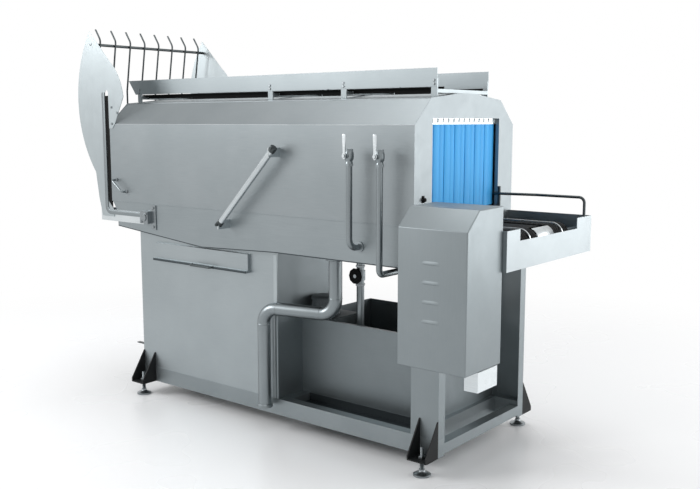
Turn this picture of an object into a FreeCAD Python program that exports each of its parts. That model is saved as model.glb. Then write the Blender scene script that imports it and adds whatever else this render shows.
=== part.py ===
import FreeCAD, Part
import math
import os
import re
import Sketcher
from FreeCAD import Vector

# Crate tunnel washer: plastic crates ride through a wash tunnel on two belts, tip over at the
# far end and slide back on a rack above the roof. Millimetres. In the formulas x runs along the
# tunnel and is 0 at the base's infeed end, y is 0 in the tunnel's middle plane with the
# operator's side negative, and z is 0 on the floor.

doc = FreeCAD.newDocument("crate_tunnel_washer")
sheet = doc.addObject("Spreadsheet::Sheet", "Layout")

sizes = {
    # sheet metal and running gaps
    "gauge": 3,
    "fold_shift": 0.45,
    "seat_gap": 0.3,
    "pin_gap": 0.05,
    "run_gap": 6,
    # base frame, posts and feet
    "base_length": 1982,
    "base_half": 379,
    "base_low": 70,
    "sill_height": 82,
    "sill_width": 50,
    "end_beam_lift": 10,
    "end_beam_height": 47,
    "post_length": 145,
    "bracket_length": 100,
    "bracket_reach": 92,
    "bracket_height": 165,
    "bracket_plate": 6,
    "bracket_toe": 22,
    "foot_reach": 48,
    "foot_disc": 39,
    "foot_disc_height": 9,
    "foot_cone_height": 14,
    "foot_neck": 13,
    "foot_screw": 10,
    "foot_nut": 17,
    "foot_nut_height": 12,
    # tunnel shell
    "tunnel_inset": 112,
    "tunnel_length": 2064,
    "tunnel_half": 417,
    "trough_base": 890,
    "sump_inset": 537,
    "sump_drop": 20,
    "sump_half": 155,
    "trough_rise": 66,
    "seam_height": 1070,
    "lap": 25,
    "fold_height": 1498,
    "eave_half": 293,
    "eave_height": 1610,
    "eave_flange": 40,
    "eave_flange_rise": 4.12,
    "ridge_half": 60,
    "ridge_rise": 24,
    "corner_cut": 46,
    "corner_cut_height": 68,
    # end frames and strip curtains
    "opening_half": 286,
    "opening_low": 940,
    "opening_top": 1530,
    "opening_lip": 15,
    "curtain_low": 1118,
    "curtain_thick": 3,
    "curtain_wave": 5,
    "rail_height": 29,
    "rail_thick": 5,
    # conveyor
    "deck_height": 1064,
    "belt_height": 100,
    "belt_thick": 18,
    "belt_infeed": 290,
    "belt_outfeed": 2262,
    "track_middle": 150,
    "band_width": 62,
    "band_gap": 14,
    "guide_strip": 8,
    "guide_rise": 6,
    "bed_height": 24,
    "crossbar_height": 18,
    "crossbar_length": 40,
    "middle_half": 66,
    "shaft_radius": 15,
    # infeed tray
    "tray_length": 430,
    "tray_half": 390,
    "tray_low": 920,
    "tray_top": 1085,
    "tray_notch": 286,
    "tray_notch_right": 244,
    "tray_notch_depth": 48,
    "bar_place": 315,
    "bar_swing_start": 17,
    "bar_swing_end": 187,
    "bar_rise": 87,
    "bar_radius": 6.5,
    "bar_bend": 26,
    "bar_post_below": 60,
    "bar_post_above": 34,
    # crate return rack
    "rack_half": 215,
    "rack_low": 1664,
    "rack_top": 1743,
    "rack_left_top": 2252,
    "rack_left_low": 2192,
    "rack_right": 136,
    "rack_middle": 1146,
    "rack_post": 32,
    "rack_post_thick": 6,
    "rack_post_rise": 34,
    "rack_bar_height": 16,
    "rail_place": 165,
    # turning end
    "crescent_middle": 1819,
    "crescent_middle_height": 1630,
    "crescent_radius": 637,
    "crescent_tip_height": 2012,
    "crescent_low_height": 1228,
    "crescent_left": 2290,
    "crescent_foot": 2262,
    "crescent_cusp": 2043,
    "crescent_cusp_height": 1645,
    "crescent_lap": 24,
    "crescent_horn_middle": 2085,
    "crescent_horn_middle_height": 1764,
    "crescent_horn": 2152,
    "crescent_horn_height": 1837,
    "slot_width": 30,
    "liner_reach": 34,
    "liner_thick": 6,
    "slot_top": 1684,
    "rod_radius": 5,
    "rod_pitch": 104,
    "rod_place": 2350,
    "rod_low": 1100,
    "rod_bend_height": 1690,
    "rod_neck": 2304,
    "rod_neck_height": 1965,
    "rod_tip": 2345,
    "rod_top": 2026,
    "rod_bend": 40,
    "rod_bar_radius": 8,
    "rod_bar_low_height": 1280,
    "rod_bar_top_height": 1940,
    "outfeed_end": 2278,
    "outfeed_side_right": 1900,
    "outfeed_low": 957,
    "outfeed_top": 1022,
    "outfeed_lip_top": 1006,
    "bearing_plate_left": 1835,
    "bearing_plate_width": 38,
    "bearing_plate_low": 933,
    "bearing_plate_top": 1065,
    "bearing_block_length": 65,
    "bearing_block_half": 33,
    "bearing_block_reach": 30,
    "drive_height": 998,
    "drive_radius": 12,
    # left cabinet and filter drawer
    "cabinet_length": 1042,
    "cabinet_back": 116,
    "drawer_inset": 142,
    "drawer_length": 714,
    "drawer_low": 765,
    "drawer_top": 860,
    "drawer_overlap": 12,
    "drawer_front_depth": 16,
    "drawer_lip": 12,
    "drawer_lip_reach": 13,
    "tray_depth": 480,
    "filter_tray_height": 56,
    "handle_inset": 317,
    "handle_length": 157,
    "handle_reach": 22,
    "handle_radius": 5,
    "handle_bend": 14,
    "runner_shelf": 24,
    # wash tank, pump and pipes
    "tank_right": 152,
    "tank_front": 200,
    "tank_back": 363,
    "tank_top": 545,
    "tank_rim": 16,
    "rim_back": 326,
    "ledge_height": 112,
    "cover_length": 190,
    "cover_depth": 240,
    "pump_inset": 72,
    "pump_y": 105,
    "pump_radius": 68,
    "pump_motor_height": 92,
    "pump_column": 32,
    "pump_casing": 62,
    "pump_low": 190,
    "riser_inset": 294,
    "riser_y": 100,
    "riser_radius": 19,
    "riser_low": 470,
    "riser_flange": 44,
    "riser_flange_thick": 12,
    "valve_height": 768,
    "valve_radius": 24,
    "wheel_radius": 39,
    "wheel_rim": 9,
    "wheel_reach": 44,
    "drain_inset": 335,
    "drain_y": 340,
    "drain_radius": 32,
    "drain_run_height": 615,
    "drain_drop_inset": 45,
    "drain_drop_y": 430,
    "drain_low": 118,
    "drain_bend": 74,
    "supply_y": 487,
    "supply_radius": 14,
    "supply_top": 1338,
    "supply_bend": 46,
    "supply_left_x": 405,
    "supply_left_low": 963,
    "supply_right_x": 240,
    "supply_right_end": 150,
    "supply_floor_bend": 26,
    "ball_valve_radius": 17,
    "ball_valve_height": 58,
    "stem_radius": 8,
    "lever_reach": 32,
    "lever_tail": 10,
    "lever_length": 104,
    "lever_width": 20,
    "lever_thick": 5,
    # control cabinet
    "control_left": 20,
    "control_width": 320,
    "control_front": 660,
    "control_low": 548,
    "control_shoulder": 1104,
    "control_top": 1184,
    "control_slope": 84,
    "louvre_left": 92,
    "louvre_width": 92,
    "louvre_height": 9,
    "louvre_reach": 7,
    "louvre_low": 735,
    "louvre_pitch": 77,
    "duct_width": 62,
    "duct_front": 566,
    "duct_back": 418,
    "duct_low": 466,
    # stay on the side panel, pull handle and drain valve
    "stay_top_x": 862,
    "stay_top_height": 1392,
    "stay_low_x": 1240,
    "stay_low_height": 1008,
    "stay_reach": 60,
    "stay_radius": 15,
    "stay_plate": 8,
    "stay_plate_width": 44,
    "pull_x": 2128,
    "pull_height": 1190,
    "pull_length": 84,
    "pull_drop": 62,
    "pull_reach": 34,
    "pull_radius": 6,
    "drain_cock_y": 300,
    "drain_cock_height": 212,
    "drain_cock_radius": 20,
    "drain_cock_length": 70,
    "drain_stem_place": 46,
    "drain_lever_length": 118,
    # where the middle of the whole machine lies, seen from the base's infeed end
    "frame_x": 1066.5,
    "frame_y": 98,
}

worked_out = {
    "sill_top": "base_low + sill_height",
    "bar_height": "tray_top + bar_rise",
    "lever_height": "supply_top + ball_valve_height / 2",
    "cabinet_right": "base_length - cabinet_length",
    "drawer_left": "base_length - drawer_inset",
    "drawer_right": "drawer_left - drawer_length",
    "handle_left": "drawer_left - handle_inset",
    "handle_right": "handle_left - handle_length",
    "handle_height": "drawer_low + drawer_lip / 2",
    "sump_place": "base_length - sump_inset",
    "trough_flat_end": "cabinet_right - 4 * gauge",
    "pump_x": "cabinet_right - pump_inset",
    "riser_x": "cabinet_right - riser_inset",
    "drain_x": "cabinet_right - drain_inset",
    "drain_drop_x": "cabinet_right + drain_drop_inset",
    "supply_right_low": "trough_base - supply_floor_bend - 1",
    "tunnel_right": "0 - tunnel_inset",
    "tunnel_left": "0 - tunnel_inset - tunnel_length",
    "shell_right": "tunnel_right - gauge",
    "shell_left": "tunnel_left + gauge",
    "wall_out": "tunnel_half - gauge",
    "wall_in": "tunnel_half - 2 * gauge",
    "sump_height": "trough_base - sump_drop",
    "sump_x": "0 - sump_place",
    "left_slope": "trough_rise / (sump_x - tunnel_left)",
    "right_slope": "sump_drop / (sump_place - trough_flat_end)",
    "cabinet_left_top": "sump_height + left_slope * (base_length - sump_place)",
    "cabinet_right_top": "sump_height + right_slope * (sump_place - cabinet_right)",
    "ridge_low": "eave_height + ridge_rise",
    "ridge_top": "ridge_low + gauge",
    "belt_bottom": "deck_height - belt_height",
    "roller_radius": "belt_height / 2 - belt_thick",
    "roller_height": "deck_height - belt_height / 2",
    "bed_top": "deck_height - belt_thick",
    "bed_low": "bed_top - bed_height",
    "crossbar_low": "bed_low - crossbar_height",
    "tray_right": "tunnel_right + tray_length",
    "rack_bar_low": "ridge_top",
    "rack_bar_top": "ridge_top + rack_bar_height",
    "rod_lean": "(rod_place - rod_neck) / (rod_neck_height - rod_bend_height)",
    "rod_touch": "(rod_radius + rod_bar_radius)",
    "rod_bar_low_x": "0 - rod_place + rod_touch",
    "rod_bar_top_x": "0 - rod_place + rod_lean * (rod_bar_top_height - rod_bend_height)"
                     " - rod_touch * sqrt(1 + rod_lean * rod_lean)",
    "control_right": "control_width - control_left",
    "control_back": "tray_half + gauge",
    "drawer_face": "base_half + seat_gap + drawer_front_depth",
    "filter_left": "drawer_left - drawer_overlap - run_gap",
    "filter_right": "drawer_right + drawer_overlap + run_gap",
    "filter_low": "drawer_low + drawer_overlap + run_gap",
    "filter_top": "filter_low + filter_tray_height",
}


def expand(text):
    """Writes a formula with the sheet's own names in it."""
    def swap(found):
        word = found.group(0)
        if word in worked_out:
            return "(" + expand(worked_out[word]) + ")"
        if word in sizes:
            return "Layout." + word
        return word
    return re.sub(r"[a-z_][a-z_0-9]*", swap, text)


def fill_sheet():
    for row, (alias, value) in enumerate(sizes.items(), start=1):
        sheet.set("A%d" % row, str(value))
        sheet.setAlias("A%d" % row, alias)
    doc.recompute()


def number(text):
    """The value of a formula, in millimetres."""
    return float(sheet.evalExpression(expand(text)))


def point(x, y, z):
    return Vector(number(x), number(y), number(z))


# Sketches: each corner is held from the sketch's origin by two measures bound to the sheet.

def hold(sketch, geometry, end, across, up):
    for kind, formula in (("DistanceX", across), ("DistanceY", up)):
        rule = Sketcher.Constraint(kind, -1, 1, geometry, end, number(formula))
        index = sketch.addConstraint(rule)
        sketch.setExpression("Constraints[%d]" % index, expand(formula))


def add_circle(sketch, across, up, radius):
    centre = Vector(number(across), number(up), 0)
    circle = Part.Circle(centre, Vector(0, 0, 1), number(radius))
    geometry = sketch.addGeometry(circle, False)
    hold(sketch, geometry, 3, across, up)
    index = sketch.addConstraint(Sketcher.Constraint("Radius", geometry, number(radius)))
    sketch.setExpression("Constraints[%d]" % index, expand(radius))


def add_edge(sketch, start, finish, middle):
    """A line, or an arc through a middle point. Gives its number and its two end marks."""
    first = Vector(number(start[0]), number(start[1]), 0)
    last = Vector(number(finish[0]), number(finish[1]), 0)
    if middle is None:
        return sketch.addGeometry(Part.LineSegment(first, last), False), 1, 2
    between = Vector(number(middle[0]), number(middle[1]), 0)
    geometry = sketch.addGeometry(Part.Arc(first, between, last), False)
    mark = sketch.addGeometry(Part.Point(between), True)
    hold(sketch, mark, 1, middle[0], middle[1])
    sketch.addConstraint(Sketcher.Constraint("PointOnObject", mark, 1, geometry))
    if sketch.getPoint(geometry, 1).distanceToPoint(first) < 0.01:
        return geometry, 1, 2
    return geometry, 2, 1


def add_outline(sketch, outline):
    """A closed outline of corners; ("arc", x, y) between two corners bends that side."""
    if outline[0] == "circle":
        add_circle(sketch, *outline[1:])
        return
    corners = []
    middles = {}
    for entry in outline:
        if entry[0] == "arc":
            middles[len(corners) - 1] = entry[1:]
        else:
            corners.append(entry)
    edges = []
    for place, corner in enumerate(corners):
        following = corners[(place + 1) % len(corners)]
        edges.append(add_edge(sketch, corner, following, middles.get(place)))
    for place, corner in enumerate(corners):
        geometry, start, finish = edges[place]
        hold(sketch, geometry, start, corner[0], corner[1])
        after, after_start, after_finish = edges[(place + 1) % len(corners)]
        joint = Sketcher.Constraint("Coincident", geometry, finish, after, after_start)
        sketch.addConstraint(joint)


def origin_part(body, role):
    return [part for part in body.Origin.OriginFeatures if part.Role == role][0]


def draw(body, role, outlines, offset):
    sketch = body.newObject("Sketcher::SketchObject", body.Name + "_sketch")
    sketch.AttachmentSupport = (origin_part(body, role), [""])
    sketch.MapMode = "FlatFace"
    sketch.setExpression("AttachmentOffset.Base.z", expand(offset))
    for outline in outlines:
        add_outline(sketch, outline)
    return sketch


# Planes: a profile across the tunnel is padded along x, a side view along y, a plan along z.

planes = {"x": "YZ_Plane", "y": "XZ_Plane", "z": "XY_Plane"}


def pad(body, along, outlines, low, high):
    offset = "0 - (%s)" % high if along == "y" else low
    sketch = draw(body, planes[along], outlines, offset)
    feature = body.newObject("PartDesign::Pad", body.Name + "_pad")
    feature.Profile = sketch
    feature.setExpression("Length", expand("(%s) - (%s)" % (high, low)))
    return feature


def cut(body, along, outlines, low, high):
    """A pocket from the low to the high plane; the sketch lies where the cut begins."""
    offset = "0 - (%s)" % low if along == "y" else high
    sketch = draw(body, planes[along], outlines, offset)
    feature = body.newObject("PartDesign::Pocket", body.Name + "_pocket")
    feature.Profile = sketch
    feature.setExpression("Length", expand("(%s) - (%s)" % (high, low)))
    return feature


def mirror(body, features, role="XZ_Plane"):
    feature = body.newObject("PartDesign::Mirrored", body.Name + "_mirrored")
    feature.Originals = features
    feature.MirrorPlane = (origin_part(body, role), [""])
    body.Tip = feature
    return feature


def new_body(name):
    body = doc.addObject("PartDesign::Body", name)
    body.AllowCompound = True
    return body


def rectangle(left, right, low, high):
    return [(left, low), (right, low), (right, high), (left, high)]


# Nodes: every sub-part is put in the machine's frame by the same two offsets.

nodes = []


def add_node(item, name):
    item.Label = name
    item.setExpression("Placement.Base.x", expand("frame_x"))
    item.setExpression("Placement.Base.y", expand("frame_y"))
    nodes.append(item)


def slab(name, along, outlines, low, high, both_sides=False):
    """A sub-part that is one padded outline, or the same on both sides of the tunnel."""
    body = new_body(name)
    feature = pad(body, along, outlines, low, high)
    if both_sides:
        mirror(body, [feature])
    add_node(body, name)
    return body


def box(name, x, y, z):
    item = doc.addObject("Part::Box", name)
    for edge, (low, high) in (("Length", x), ("Width", y), ("Height", z)):
        item.setExpression(edge, expand("(%s) - (%s)" % (high, low)))
    for axis, (low, high) in (("x", x), ("y", y), ("z", z)):
        item.setExpression("Placement.Base." + axis, expand(low))
    return item


def prism(name, x, y, sides, radius, z):
    item = doc.addObject("Part::Prism", name)
    item.Polygon = sides
    item.setExpression("Circumradius", expand(radius))
    item.setExpression("Height", expand("(%s) - (%s)" % (z[1], z[0])))
    for axis, place in (("x", x), ("y", y), ("z", z[0])):
        item.setExpression("Placement.Base." + axis, expand(place))
    return item


def cone(name, x, y, low_radius, high_radius, z):
    item = doc.addObject("Part::Cone", name)
    item.setExpression("Radius1", expand(low_radius))
    item.setExpression("Radius2", expand(high_radius))
    item.setExpression("Height", expand("(%s) - (%s)" % (z[1], z[0])))
    for axis, place in (("x", x), ("y", y), ("z", z[0])):
        item.setExpression("Placement.Base." + axis, expand(place))
    return item


def gather(name, parts):
    item = doc.addObject("Part::Compound", name)
    item.Links = parts
    add_node(item, name)
    return item


def fuse(name, parts, is_node=True):
    item = doc.addObject("Part::MultiFuse", name)
    item.Shapes = parts
    item.Refine = True
    if is_node:
        add_node(item, name)
    return item


def shape_node(name, shape):
    """A sub-part whose shape is made from the sheet's values by the lines that call this."""
    item = doc.addObject("Part::Feature", name)
    item.Shape = shape
    add_node(item, name)
    return item


def tube_path(points, bend):
    """Straight runs joined by arcs that touch both runs, as one wire."""
    edges = []
    start = points[0]
    for before, corner, after in zip(points, points[1:], points[2:]):
        back = (before - corner).normalize()
        ahead = (after - corner).normalize()
        half_turn = back.getAngle(ahead) / 2
        setback = bend / math.tan(half_turn)
        first = corner + back * setback
        last = corner + ahead * setback
        inward = (back + ahead).normalize()
        centre = corner + inward * (bend / math.sin(half_turn))
        edges.append(Part.LineSegment(start, first).toShape())
        edges.append(Part.Arc(first, centre - inward * bend, last).toShape())
        start = last
    edges.append(Part.LineSegment(start, points[-1]).toShape())
    return Part.Wire(edges)


def ring(centre, heading, radius, sides):
    """The section of a bar: a regular outline of many sides across its heading."""
    turned = FreeCAD.Rotation(Vector(0, 0, 1), heading)
    corners = []
    for step in range(sides):
        angle = math.pi * (2 * step + 1) / sides
        spoke = Vector(radius * math.cos(angle), radius * math.sin(angle), 0)
        corners.append(centre + turned.multVec(spoke))
    return Part.makePolygon(corners + corners[:1])


def round_bar(points, radius, bend, sides=12):
    path = tube_path(points, bend)
    heading = (points[1] - points[0]).normalize()
    return path.makePipeShell([ring(points[0], heading, radius, sides)], True, False)


def rod(start, finish, radius, sides=12):
    return Part.Face(ring(start, finish - start, radius, sides)).extrude(finish - start)


def pin(start, finish, radius):
    heading = finish - start
    return Part.makeCylinder(radius, heading.Length, start, heading)


fill_sheet()


# Base: a ring of box sections with two cross beams under the tank.

def make_base_frame():
    inner = "base_half - sill_width"
    bars = [
        box("sill_front", ("0 - base_length", "0"), ("0 - base_half", "0 - (%s)" % inner),
            ("base_low", "sill_top")),
        box("sill_back", ("0 - base_length", "0"), (inner, "base_half"), ("base_low", "sill_top")),
    ]
    beams = {
        "left": ("0 - base_length", "0 - base_length + sill_width"),
        "middle": ("0 - cabinet_right - sill_width", "0 - cabinet_right + sill_width"),
        "tank": ("0 - tank_right - sill_width / 2", "0 - tank_right + sill_width / 2"),
    }
    for place, span in beams.items():
        bars.append(box("beam_" + place, span, ("0 - (%s)" % inner, inner),
                        ("base_low", "sill_top")))
    end_low = "base_low + end_beam_lift"
    bars.append(box("beam_right", ("0 - sill_width", "0"), ("0 - (%s)" % inner, inner),
                    (end_low, "%s + end_beam_height" % end_low)))
    fuse("base_frame", bars)


# Folded posts at the infeed end carry the tunnel: open channels with their backs outwards.

def make_right_posts():
    outline = [
        ("0 - post_length", "0 - base_half"), ("0", "0 - base_half"),
        ("0", "0 - base_half + sill_width"), ("0 - gauge", "0 - base_half + sill_width"),
        ("0 - gauge", "0 - base_half + gauge"),
        ("0 - post_length + gauge", "0 - base_half + gauge"),
        ("0 - post_length + gauge", "0 - base_half + sill_width"),
        ("0 - post_length", "0 - base_half + sill_width"),
    ]
    slab("right_posts", "z", [outline], "sill_top", "trough_base", both_sides=True)


# Outriggers: two gussets on a toe plate at each corner, and a levelling foot under each.

def make_foot_brackets():
    body = new_body("foot_brackets")
    gusset = [
        ("0 - base_half", "base_low"), ("0 - base_half - bracket_reach", "base_low"),
        ("0 - base_half - bracket_reach", "base_low + bracket_toe"),
        ("0 - base_half - gauge", "base_low + bracket_height"),
        ("0 - base_half", "base_low + bracket_height"),
    ]
    toe = rectangle("0 - base_half - bracket_reach", "0 - base_half",
                    "base_low", "base_low + bracket_plate")
    features = []
    for start in ("0 - bracket_length", "0 - base_length"):
        end = "%s + bracket_length" % start
        features.append(pad(body, "x", [gusset], start, "%s + bracket_plate" % start))
        features.append(pad(body, "x", [gusset], "%s - bracket_plate" % end, end))
        features.append(pad(body, "x", [toe], start, end))
    mirror(body, features)
    add_node(body, "foot_brackets")


def make_levelling_feet():
    neck_low = "foot_disc_height + foot_cone_height"
    solids = []
    for end, x in (("right", "0 - bracket_length / 2"),
                   ("left", "0 - base_length + bracket_length / 2")):
        for side, y in (("front", "0 - base_half - foot_reach"), ("back", "base_half + foot_reach")):
            tag = "_%s_%s" % (end, side)
            parts = [
                prism("foot_disc" + tag, x, y, 24, "foot_disc", ("0", "foot_disc_height")),
                cone("foot_cone" + tag, x, y, "foot_disc", "foot_neck",
                     ("foot_disc_height", neck_low)),
                prism("foot_screw" + tag, x, y, 12, "foot_screw", (neck_low, "base_low")),
                prism("foot_nut" + tag, x, y, 6, "foot_nut",
                      ("base_low - foot_nut_height", "base_low")),
            ]
            solids.append(fuse("foot" + tag, parts, is_node=False))
    gather("levelling_feet", solids)


# Left cabinet: sheets around the sump; their tops follow the trough's sloping bottom.

def cabinet_outline():
    return [
        ("0 - base_length", "sill_top"), ("0 - cabinet_right", "sill_top"),
        ("0 - cabinet_right", "cabinet_right_top"), ("sump_x", "sump_height"),
        ("0 - base_length", "cabinet_left_top"),
    ]


def make_cabinet():
    mouth = rectangle("0 - drawer_left + drawer_overlap", "0 - drawer_right - drawer_overlap",
                      "drawer_low + drawer_overlap", "drawer_top - drawer_overlap")
    slab("cabinet_front_panel", "y", [cabinet_outline(), mouth],
         "0 - base_half", "0 - base_half + gauge")
    slab("cabinet_back_panel", "y", [cabinet_outline()], "cabinet_back - gauge", "cabinet_back")
    depth = ("0 - base_half + gauge", "cabinet_back - gauge")
    left = box("cabinet_left_sheet", ("0 - base_length", "0 - base_length + gauge"),
               depth, ("sill_top", "cabinet_left_top - gauge"))
    right = box("cabinet_right_sheet", ("0 - cabinet_right - gauge", "0 - cabinet_right"),
                depth, ("sill_top", "cabinet_right_top - gauge"))
    gather("cabinet_side_panels", [left, right])


# Filter drawer: a folded front, an open sieve box behind it, two runners and a bow handle.

def make_drawer():
    front = "0 - drawer_face"
    back = "0 - base_half - seat_gap"
    body = new_body("drawer_front")
    pad(body, "y", [rectangle("0 - drawer_left", "0 - drawer_right", "drawer_low", "drawer_top")],
        front, back)
    hollow = rectangle("0 - drawer_left + gauge", "0 - drawer_right - gauge",
                       "drawer_low + gauge", "drawer_top - gauge")
    cut(body, "y", [hollow], "%s + gauge" % front, back)
    lip = rectangle("0 - drawer_left", "0 - drawer_right", "drawer_low", "drawer_low + drawer_lip")
    pad(body, "y", [lip], "%s - drawer_lip_reach" % front, front)
    add_node(body, "drawer_front")

    tray = new_body("filter_tray")
    tray_front = "%s + gauge" % front
    tray_back = "0 - base_half + tray_depth"
    pad(tray, "z", [rectangle("0 - filter_left", "0 - filter_right", tray_front, tray_back)],
        "filter_low", "filter_top")
    hollow = rectangle("0 - filter_left + gauge", "0 - filter_right - gauge",
                       "%s + gauge" % tray_front, "%s - gauge" % tray_back)
    cut(tray, "z", [hollow], "filter_low + gauge", "filter_top")
    add_node(tray, "filter_tray")

    depth = ("0 - base_half + gauge", "cabinet_back - gauge")
    runners = []
    for side, low, high in (
            ("left", "0 - filter_left - runner_shelf", "0 - filter_left + runner_shelf"),
            ("right", "0 - filter_right - runner_shelf", "0 - filter_right + runner_shelf")):
        runners.append(box("runner_" + side, (low, high), depth,
                           ("filter_low - seat_gap - gauge", "filter_low - seat_gap")))
    gather("drawer_runners", runners)

    face = "%s - drawer_lip_reach" % front
    out = "%s - handle_reach" % face
    handle = round_bar([point("0 - handle_left", face, "handle_height"),
                        point("0 - handle_left", out, "handle_height"),
                        point("0 - handle_right", out, "handle_height"),
                        point("0 - handle_right", face, "handle_height")],
                       number("handle_radius"), number("handle_bend"))
    shape_node("drawer_handle", handle)


# Wash tank in the right bay, with a drip ledge before it and the pump on its cover.

def make_tank():
    body = new_body("wash_tank")
    left = "0 - cabinet_right"
    right = "0 - tank_right"
    pad(body, "z", [rectangle(left, right, "0 - tank_front", "tank_back")], "sill_top", "tank_top")
    pad(body, "z", [rectangle(left, "%s + tank_rim" % right, "0 - tank_front - tank_rim",
                              "rim_back")], "tank_top - gauge", "tank_top")
    cut(body, "z", [rectangle("%s + gauge" % left, "%s - gauge" % right,
                              "0 - tank_front + gauge", "tank_back - gauge")],
        "sill_top + gauge", "tank_top")
    add_node(body, "wash_tank")
    outer = "0 - base_half + sill_width"
    ledge = [
        (outer, "ledge_height"), ("0 - tank_front", "ledge_height"),
        ("0 - tank_front", "sill_top"), ("0 - tank_front - gauge", "sill_top"),
        ("0 - tank_front - gauge", "ledge_height + gauge"), (outer, "ledge_height + gauge"),
    ]
    slab("bay_ledge", "x", [ledge], "0 - cabinet_right + sill_width",
         "0 - tank_right - sill_width / 2")


def make_pump():
    slab("tank_cover", "z",
         [rectangle("0 - cabinet_right", "0 - cabinet_right + cover_length",
                    "0 - tank_front - tank_rim", "0 - tank_front - tank_rim + cover_depth"),
          ("circle", "0 - pump_x", "0 - pump_y", "pump_column + seat_gap")],
         "tank_top", "tank_top + gauge")
    cover_top = "tank_top + gauge"
    body = new_body("circulation_pump")
    pad(body, "z", [("circle", "0 - pump_x", "0 - pump_y", "pump_radius")],
        cover_top, "%s + pump_motor_height" % cover_top)
    pad(body, "z", [("circle", "0 - pump_x", "0 - pump_y", "pump_column")],
        "pump_low + pump_casing", cover_top)
    pad(body, "z", [("circle", "0 - pump_x", "0 - pump_y", "pump_casing")],
        "pump_low", "pump_low + pump_casing")
    add_node(body, "circulation_pump")


# Riser from the tank to the trough with a valve body, and its hand wheel on the stem.

def make_riser():
    body = new_body("valve_riser")
    centre = ("0 - riser_x", "0 - riser_y")
    pad(body, "z", [("circle",) + centre + ("riser_radius",)], "riser_low", "trough_base")
    pad(body, "z", [("circle",) + centre + ("riser_flange",)],
        "trough_base - riser_flange_thick", "trough_base")
    pad(body, "z", [("circle",) + centre + ("valve_radius",)],
        "valve_height - valve_radius", "valve_height + valve_radius")
    bonnet = ("circle", "0 - riser_x", "valve_height", "stem_radius * 2")
    pad(body, "y", [bonnet], "0 - riser_y - wheel_reach + wheel_rim * 2", "0 - riser_y")
    stem = ("circle", "0 - riser_x", "valve_height", "stem_radius")
    pad(body, "y", [stem], "0 - riser_y - wheel_reach", "0 - riser_y")
    add_node(body, "valve_riser")
    disc = ("circle", "0 - riser_x", "valve_height", "wheel_radius")
    bore = ("circle", "0 - riser_x", "valve_height", "stem_radius + pin_gap")
    slab("hand_wheel", "y", [disc, bore], "0 - riser_y - wheel_reach",
         "0 - riser_y - wheel_reach + wheel_rim")


# Tunnel shell: two folded side panels, a ridged roof, trough walls and a sloping floor with
# a well over the cabinet's filter.

def make_hood():
    flange_y = "eave_half - eave_flange"
    flange_z = "eave_height + eave_flange_rise"
    inner_fold = "fold_height - fold_shift * gauge"
    front = [
        ("0 - tunnel_half", "seam_height"), ("0 - tunnel_half", "fold_height"),
        ("0 - eave_half", "eave_height"), ("0 - (%s)" % flange_y, flange_z),
        ("0 - (%s)" % flange_y, "%s - gauge" % flange_z),
        ("0 - eave_half + gauge", "eave_height - gauge"),
        ("0 - tunnel_half + gauge", inner_fold), ("0 - tunnel_half + gauge", "seam_height"),
    ]
    body = new_body("hood_panels")
    mirror(body, [pad(body, "x", [front], "shell_left", "shell_right")])
    add_node(body, "hood_panels")
    roof = [
        ("0 - eave_half", "eave_height"), ("0 - ridge_half", "ridge_low"),
        ("ridge_half", "ridge_low"), ("eave_half", "eave_height"),
        ("eave_half", "eave_height + gauge"), ("ridge_half", "ridge_top"),
        ("0 - ridge_half", "ridge_top"), ("0 - eave_half", "eave_height + gauge"),
    ]
    slab("hood_roof", "x", [roof], "shell_left", "shell_right")


def make_trough():
    left_end = "shell_left + corner_cut"
    left_height = "sump_height + left_slope * (sump_x - shell_left - corner_cut)"
    side = [
        ("shell_right", "trough_base"), ("shell_right", "seam_height + lap"),
        ("shell_left", "seam_height + lap"), ("shell_left", "seam_height"),
        (left_end, "seam_height - corner_cut_height"), (left_end, left_height),
        ("sump_x", "sump_height"), ("0 - trough_flat_end", "trough_base"),
    ]
    slab("trough_walls", "y", [side], "0 - wall_out", "0 - wall_in", both_sides=True)
    near = "sump_x - sump_half"
    near_height = "sump_height + left_slope * sump_half"
    left = [(left_end, left_height), (near, near_height), (near, "%s + gauge" % near_height),
            (left_end, "%s + gauge" % left_height)]
    far = "sump_x + sump_half"
    far_height = "sump_height + right_slope * sump_half"
    right = [
        (far, far_height), ("0 - trough_flat_end", "trough_base"), ("shell_right", "trough_base"),
        ("shell_right", "trough_base + gauge"), ("0 - trough_flat_end", "trough_base + gauge"),
        (far, "%s + gauge" % far_height),
    ]
    body = new_body("trough_floor")
    pad(body, "y", [left], "0 - wall_in", "wall_in")
    pad(body, "y", [right], "0 - wall_in", "wall_in")
    behind = [
        (near, near_height), ("sump_x", "sump_height"), (far, far_height),
        (far, "%s + gauge" % far_height), ("sump_x", "sump_height + gauge"),
        (near, "%s + gauge" % near_height),
    ]
    pad(body, "y", [behind], "cabinet_back", "wall_in")
    add_node(body, "trough_floor")


# End frames: plates with a crate-sized opening whose lip turns into the tunnel.

def shell_top():
    return [
        ("tunnel_half", "fold_height"), ("eave_half", "eave_height + gauge"),
        ("ridge_half", "ridge_top"), ("0 - ridge_half", "ridge_top"),
        ("0 - eave_half", "eave_height + gauge"), ("0 - tunnel_half", "fold_height"),
    ]


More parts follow.
